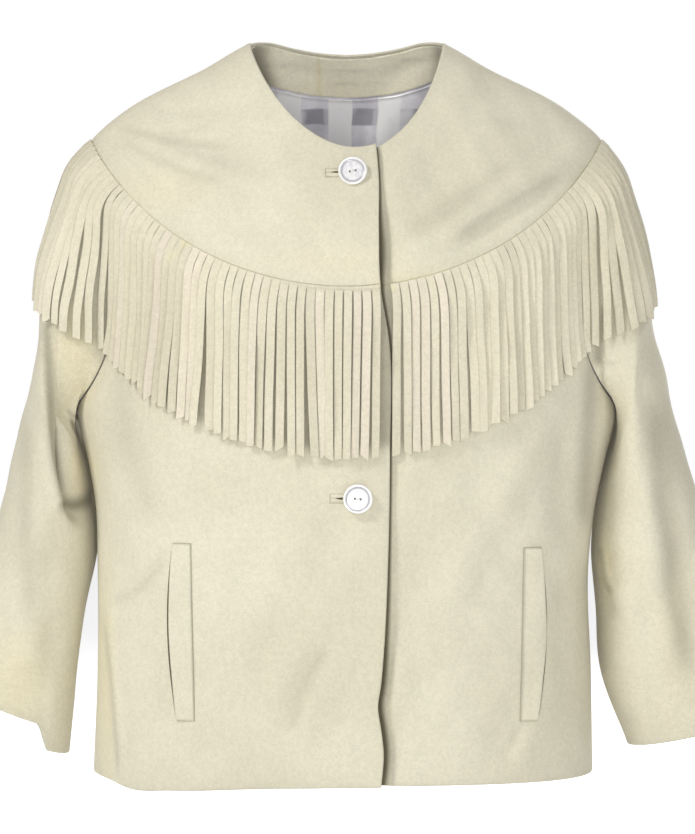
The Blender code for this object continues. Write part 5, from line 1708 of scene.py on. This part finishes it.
def two_tone(name, noise, dark, light, roughness, strength, distance):
    """A matt material of two tones, with the same noise as its grain."""
    graph = Graph(name)
    scale, detail, rough, stretch = noise
    grain = graph.noise(scale, detail, rough, graph.stretched((1.0, 1.0, stretch)))
    return graph.looks({
        "Base Color": graph.mix(graph.spread(grain, 0.3, 0.7), dark, light),
        "Roughness": roughness,
        "Normal": graph.bump(grain, strength, distance),
    })


def on_front(tree, x, height):
    """The front's outermost point at x and a height."""
    place, _, _, _ = tree.ray_cast(Vector((x, -1, height)), Vector((0, 1, 0)))
    return np.array(place)


def make_inside(name, node, yoke, shares, wall, material, slot, ripple):
    """A piece on the inner side of the back yoke, between two shares of its depth."""
    depth = yoke.borders["top"]
    share = depth / depth[:, -1:]
    wanted = np.linspace(shares[0], shares[1], INSIDE_ROWS)

    def between(points):
        rows = [[np.interp(wanted, at, line[:, k]) for k in range(3)] for at, line in zip(share, points)]
        return np.moveaxis(np.array(rows), 1, 2)

    grid, normals = between(yoke.grid), unit(between(yoke.normals))
    turned_in = 1 - ease((wanted * YOKE_DEPTH - INSIDE_STEP[0]) / INSIDE_STEP[1])
    off = WALL + INSIDE_GAP + (TURNED_WALL - WALL) * turned_in[None, :]
    x, z = grid[..., 0], grid[..., 2]
    waves = ripple * np.sin(x * 95 + 2 * np.sin(z * 40)) * ease((wanted - shares[0]) * 6)
    waves = waves + ripple * 0.5 * np.sin(x * 210 + 1.0 + z * 90)
    place = grid - normals * (off + np.abs(ripple) + waves)[..., None]
    piece = Cloth(node, place[INSIDE_SHORTER:-INSIDE_SHORTER][::-1], ("bottom",))
    thing = piece.build([material], wall)
    thing.name = name
    dress(thing, node)


def seat_on(tree, x, height, distance):
    """A place on the front at x and a height, and its frame: across, up and outward."""
    place = on_front(tree, x, height)
    across = unit(on_front(tree, x + SEAT_SPAN, height) - place)
    outward = unit(np.cross(across, on_front(tree, x, height + SEAT_SPAN) - place))
    return place + outward * distance, across, np.cross(outward, across), outward


# Radius and height shares of the button's turned profile, from the middle of its face outwards
BUTTON_PROFILE = [
    (0.00, 0.52),
    (0.30, 0.52),
    (0.55, 0.53),
    (0.70, 0.56),
    (0.76, 0.60),
    (0.80, 0.68),
    (0.825, 0.80),
    (0.85, 0.93),
    (0.88, 1.00),
    (0.92, 1.00),
    (0.955, 0.95),
    (0.985, 0.82),
    (1.00, 0.64),
    (0.995, 0.45),
    (0.97, 0.28),
    (0.92, 0.14),
    (0.80, 0.04),
    (0.60, 0.00),
    (0.0, 0.00),
]
BUTTON_FACE_ENDS = 4
BUTTON_FACE_RINGS = 44
BUTTON_SECTORS = 120


def make_button(node, tree, x, height, tilt, pearl, thread):
    """A turned two-hole button with a raised rim, a dished face and its thread."""
    stands_off = LAID_GAP * 2 + HOLE_THICK + BUTTON_STANDS_OFF
    place, across, up, outward = seat_on(tree, x, height, stands_off)
    outward = unit(outward + np.array([0, -1, 0]))
    across = unit(across - outward * np.dot(across, outward))
    up = np.cross(outward, across)
    turn = math.radians(tilt)
    right = across * math.cos(turn) + up * math.sin(turn)
    top = up * math.cos(turn) - across * math.sin(turn)
    profile = np.array(BUTTON_PROFILE)
    lengths = np.concatenate([[0], np.cumsum(np.hypot(*np.diff(profile, axis=0).T))])
    outside = lengths[BUTTON_FACE_ENDS:]
    inside = np.linspace(0, outside[0], BUTTON_FACE_RINGS)
    halfway = (outside[:-1] + outside[1:]) / 2
    samples = np.unique(np.concatenate([inside, outside, halfway]))
    radii, levels = (np.interp(samples, lengths, column) for column in profile.T)
    angles = np.linspace(0, 2 * math.pi, BUTTON_SECTORS, endpoint=False)
    local_x = np.outer(radii, np.cos(angles)) * BUTTON_RADIUS
    local_y = np.outer(radii, np.sin(angles)) * BUTTON_RADIUS
    hole = np.zeros_like(local_x)
    for k in (-1, 1):
        away = np.hypot(local_x - k * BUTTON_HOLE_SPACING / 2, local_y) / BUTTON_HOLE_RADIUS
        hole = np.maximum(hole, 1 - ease((away - 0.75) / 0.5))
    hole = hole * (np.arange(len(samples)) < BUTTON_FACE_RINGS)[:, None]
    level = (levels * BUTTON_THICK)[:, None] - hole * BUTTON_HOLE_DEPTH
    points = place + local_x[..., None] * right + local_y[..., None] * top
    points = (points + level[..., None] * outward).reshape(-1, 3)
    index = np.arange(len(points)).reshape(level.shape)
    quads = grid_faces(np.concatenate([index, index[:, :1]], axis=1)).tolist()
    tube_points, tube_faces = thread_tube(place, right, outward, len(points))
    all_points = np.concatenate([points, tube_points])
    thing = mesh_object(node + "_pearl", all_points, quads + tube_faces, [pearl, thread])
    slots = [0] * len(quads) + [1] * len(tube_faces)
    thing.data.polygons.foreach_set("material_index", slots)
    # Painted shade in a ring inside the rim and in the holes
    values = {
        "rim": ease((radii - RIM_STARTS) / RIM_FADE)[:, None],
        "ring": RING_SHADE_DEPTH * np.exp(-(((radii - RING_RADIUS) / RING_HALF_WIDTH) ** 2))[:, None],
        "hole": hole,
    }
    for label, one in values.items():
        one = np.broadcast_to(one, level.shape).ravel()
        add_values(thing, label, np.concatenate([one, np.zeros(len(tube_points))]))
    dress(thing, node)


def thread_tube(place, right, outward, start, sides=8, steps=14):
    """The sewing thread from hole to hole, over the face of a button."""
    points = []
    up = np.cross(outward, right)
    for m in range(steps + 1):
        share = m / steps
        along = (share - 0.5) * BUTTON_HOLE_SPACING
        arch = BUTTON_THICK * THREAD_LEVEL - THREAD_SINK
        arch += THREAD_ARCH * math.sin(math.pi * share) ** 0.6
        centre = place + right * along + outward * arch
        for n in range(sides):
            angle = 2 * math.pi * n / sides
            aside = up * math.cos(angle) * THREAD_FLATTER + outward * math.sin(angle)
            points.append(centre + aside * THREAD_RADIUS)
    index = np.arange(len(points)).reshape(-1, sides) + start
    faces = grid_faces(np.concatenate([index, index[:, :1]], axis=1).T).tolist()
    return points, faces + [index[0][::-1].tolist(), index[-1].tolist()]


def make_buttonhole(node, tree, x, height, suede, shade):
    """A bound buttonhole: two rolled lips in a stitched frame, parted by a slit of painted shade."""
    middle = x + BUTTON_RADIUS * HOLE_UNDER_BUTTON - HOLE_LENGTH / 2
    place, across, up, outward = seat_on(tree, middle, height, LAID_GAP)
    columns, rows = HOLE_GRID
    ends = np.linspace(-1, 1, columns)[:, None]
    rises = np.linspace(-1, 1, rows)[None, :]
    out, part = np.abs(ends), np.abs(rises)
    inset = 1 - clip01((out - 0.93) / 0.07) ** 2
    lips = HOLE_THICK * (0.45 + 0.75 * np.sqrt(clip01(1 - ((part - 0.36) / 0.34) ** 2)))
    frame_level = HOLE_THICK * 0.35 + 0.0002 * np.cos((part - LIPS_END) / (1 - LIPS_END) * math.pi)
    slit = np.exp(-((rises / 0.10) ** 2)) * ease((1 - out) * 6)
    level = np.where(part < LIPS_END, lips, frame_level) - slit * SLIT_DEPTH
    level = level * inset * ease((1 - part) * 12)
    points = level[..., None] * outward + place
    points = points + (ends * HOLE_LENGTH / 2)[..., None] * across
    points = points + (rises * HOLE_HEIGHT / 2)[..., None] * up
    faces = grid_faces(np.arange(columns * rows).reshape(columns, rows))
    thing = mesh_object(node + "_lips", points.reshape(-1, 3), faces, [suede, shade])
    heights = np.abs(rises[0, :-1] + 1 / (rows - 1))
    # The faces in the slit get painted shade
    opening = 0.26 * np.sqrt(clip01(1 - ((ends[:-1, 0] - 0.2) / 0.82) ** 2))
    in_slit = (heights[None, :] < opening[:, None]).ravel()
    thing.data.polygons.foreach_set("material_index", in_slit.astype(int))
    solid = thing.modifiers.new("thickness", "SOLIDIFY")
    solid.thickness = HOLE_WALL
    solid.offset = -1
    lines = np.exp(-(((part - 0.90) / 0.09) ** 2)), np.exp(-(((out - 0.96) / 0.035) ** 2))
    add_values(thing, "shade", (HOLE_FRAME_SHADE * np.maximum(*lines)).ravel())
    dress(thing, node)


def welt_line(middle, part, side):
    """The leaning middle line of a welt and how far it bows, at a share of its length."""
    bow = math.sin(math.pi * part) ** WELT_BOW_POWER
    return middle + WELT_LEAN * (0.5 - part) * side, bow


def make_welt(node, tree, middle, top, bottom, suede, shade):
    """An upright welt: sewn down along one side, bulging open along the other."""
    side = 1 if middle > 0 else -1
    columns, rows = WELT_GRID
    shares = np.linspace(0, 1, rows)
    across = np.linspace(-1, 1, columns)
    to_open = (across * side + 1) / 2
    grid = np.zeros((columns, rows, 3))
    level = np.zeros((columns, rows))
    for j, part in enumerate(shares):
        line, bow = welt_line(middle, part, side)
        height = top + (bottom - top) * part
        ends = ease(min(part, 1 - part) * 90)
        for i, (a, opened) in enumerate(zip(across, to_open)):
            wide = a * WELT_WIDTH / 2 + WELT_BULGE * bow * side * ease(opened * 1.2)
            grid[i, j] = on_front(tree, line + wide, height)
            rise = WELT_FLAT + (WELT_THICK + WELT_FULLNESS * bow) * ease(opened)
            rise += WELT_RIDGE * math.exp(-((opened - 0.06) / 0.05) ** 2)
            rise -= WELT_ROLL * clip01((opened - 0.93) / 0.07) ** 2
            level[i, j] = rise * (0.25 + 0.75 * ends)
    face = normals_of(grid[::-1])[::-1]
    front, back = grid + face * level[..., None], grid + face * WELT_BACK
    index = np.arange(columns * rows).reshape(columns, rows)
    lines = (index[:, 0], index[:, -1][::-1], index[-1], index[0][::-1])
    mouth_points, mouth_faces = welt_mouth(tree, middle, top, bottom, side)
    points = np.concatenate([front.reshape(-1, 3), back.reshape(-1, 3), mouth_points])
    faces = np.concatenate([shell_faces(index.T, lines), mouth_faces + 2 * index.size])
    thing = mesh_object(node + "_welt", points, faces, [suede, shade])
    # The mouth's faces get the painted shade
    slots = np.zeros(len(faces), int)
    slots[-len(mouth_faces):] = 1
    thing.data.polygons.foreach_set("material_index", slots)
    thing.data.set_sharp_from_angle(angle=math.radians(60))
    wear_and_shade = np.exp(-(1 - np.abs(across)) / 0.12)
    lines = [
        0.5 * np.exp(-((to_open / 0.07) ** 2))[:, None],
        0.55 * np.exp(-((shares / 0.008) ** 2))[None, :],
        0.25 * np.exp(-(((1 - shares) / 0.008) ** 2))[None, :],
    ]
    values = {"wear_and_shade": wear_and_shade[:, None], "shade": np.maximum(np.maximum(*lines[:2]), lines[2])}
    for label, one in values.items():
        one = np.broadcast_to(one, (columns, rows))
        add_values(thing, label, on_both(one, len(mouth_points)))
    dress(thing, node)


def welt_mouth(tree, middle, top, bottom, side):
    """The dark mouth that shows beside the welt, widest at its middle: a sheet of painted shade in the
    pocket's opening.
    """
    points = []
    shares = np.linspace(*MOUTH_SHARES, MOUTH_ROWS)
    for part in shares:
        line, bow = welt_line(middle, part, side)
        inner = line + side * (WELT_WIDTH / 2 + WELT_BULGE * bow - MOUTH_TUCK)
        wide = MOUTH_WIDTH + MOUTH_MORE * math.sin(math.pi * part) ** 1.5
        for x in (inner, inner + side * wide):
            points.append(on_front(tree, x, top + (bottom - top) * part) + MOUTH_OFF)
    faces = grid_faces(np.arange(len(points)).reshape(MOUTH_ROWS, 2))
    return np.array(points), faces[:, [0, 3, 2, 1]]


def set_stage():
    """A pale floor whose far part glows and lights the jacket from behind, a white room light that the
    camera sees as white, and the lamps.
    """
    world = bpy.data.worlds.new("room")
    bpy.context.scene.world = world
    world.use_nodes = True
    nodes, links = world.node_tree.nodes, world.node_tree.links
    backdrop = nodes["Background"]
    backdrop.inputs["Color"].default_value = (1.0, 1.0, 1.0, 1)
    seen = nodes.new("ShaderNodeLightPath").outputs["Is Camera Ray"]
    level = nodes.new("ShaderNodeMapRange")
    links.new(seen, level.inputs["Value"])
    level.inputs["To Min"].default_value = ROOM_LIGHT
    level.inputs["To Max"].default_value = 1.0
    links.new(level.outputs["Result"], backdrop.inputs["Strength"])
    around = ((-1, -1), (1, -1), (1, 1), (-1, 1))
    corners = [(x * FLOOR_HALF, y * FLOOR_HALF, FLOOR_HEIGHT) for x, y in around]
    mesh_object("floor", corners, [(0, 1, 2, 3)], [floor_material("floor")])
    for name, place, size, power, colour in LAMPS:
        lamp(name, place, LAMPS_AIM, size, power, colour)


def floor_material(name):
    graph = Graph(name)
    cloud = graph.spread(graph.noise(0.8, 2.0), 0.3, 0.7)
    # The floor's far part glows, a light that is no lamp
    behind = graph.axes()[1]
    return graph.looks({
        "Base Color": graph.mix(cloud, (0.93, 0.93, 0.93), (0.96, 0.96, 0.96)),
        "Roughness": 0.9,
        "Emission Color": (1.0, 1.0, 1.0),
        "Emission Strength": graph.spread(behind, *FLOOR_GLOW_STARTS, 0.0, FLOOR_GLOW),
    })


def lamp(name, place, target, size, power, colour):
    light = bpy.data.lights.new(name, "AREA")
    light.shape = "DISK"
    light.size = size
    light.energy = power
    light.color = colour
    thing = bpy.data.objects.new(name, light)
    bpy.context.scene.collection.objects.link(thing)
    thing.location = place
    aim = Vector(target) - Vector(place)
    thing.rotation_euler = aim.to_track_quat("-Z", "Y").to_euler()


def set_camera():
    camera = bpy.data.cameras.new("camera")
    camera.sensor_fit = "VERTICAL"
    camera.sensor_height = SENSOR
    camera.lens = SENSOR * CAMERA_DISTANCE / (FRAME_HEIGHT * PIXEL)
    thing = bpy.data.objects.new("camera", camera)
    bpy.context.scene.collection.objects.link(thing)
    thing.location = (CAMERA_X, -CAMERA_DISTANCE, CAMERA_HEIGHT)
    thing.rotation_euler = (math.pi / 2, 0, 0)
    bpy.context.scene.camera = thing
    bpy.context.scene.view_settings.view_transform = "Standard"


def main():
    set_camera()
    suede = suede_material("suede", *SUEDE)
    # The same suede, painted brighter as painted light on the inside of the neck
    lit_facing_suede = suede_material("lit_facing_suede", *LIT_FACING_SUEDE)
    fringe_suede = suede_material("fringe_suede", *FRINGE_SUEDE, strips=True)
    satin = satin_material("lining_check")
    plain_satin = satin_material("lining_plain", plain=True)
    pearl = pearl_material("pearl")
    thread = two_tone("thread", *THREAD_LOOKS)
    shade = two_tone("opening_shade", *OPENING_LOOKS)
    pieces = make_cloth(suede, plain_satin)
    tree = outer_tree([piece for name, piece in pieces.items() if not name.startswith("yoke")])
    seam = float(seam_height(0.0))
    lap = turn_at_x(body_surface, seam, overlap_x(seam) - FRINGE_RIGHT_EDGE_GAP)
    under_turn = turn_at_x(body_surface, seam, FRINGE_LEFT_STARTS_X)
    side = math.pi / 2
    right = Fringe("fringe_front_right", (lap, -side), 0, tree, 11)
    left = Fringe("fringe_front_left", (side, under_turn), 1, tree, 23, raised=-1, loose=0.6)
    back = Fringe("fringe_back", (3 * side, side), 0.5, tree, 37)
    for fringe in (right, left, back):
        fringe.build(fringe_suede)
    yoke = pieces["yoke_back"]
    facing_looks = (FACING_SHARES, WALL, lit_facing_suede, "suede", FACING_RIPPLE)
    make_inside("neck_facing_suede", "neck_facing", yoke, *facing_looks)
    lining_looks = (LINING_SHARES, LINING_WALL, satin, "lining", LINING_RIPPLE)
    make_inside("lining_back_satin", "lining_back", yoke, *lining_looks)
    lapped = outer_tree([pieces["yoke_front_right"], pieces["front_right"]])
    fronts = outer_tree([pieces["front_right"], pieces["front_left"]])
    for name, (middle, top, bottom) in WELTS.items():
        make_welt(name, fronts, middle, top, bottom, suede, shade)
    for name, (x, height, tilt) in BUTTONS.items():
        make_button(name, lapped, x, height, tilt, pearl, thread)
        make_buttonhole(name.replace("button", "buttonhole"), lapped, x, height, suede, shade)
    set_stage()


main()
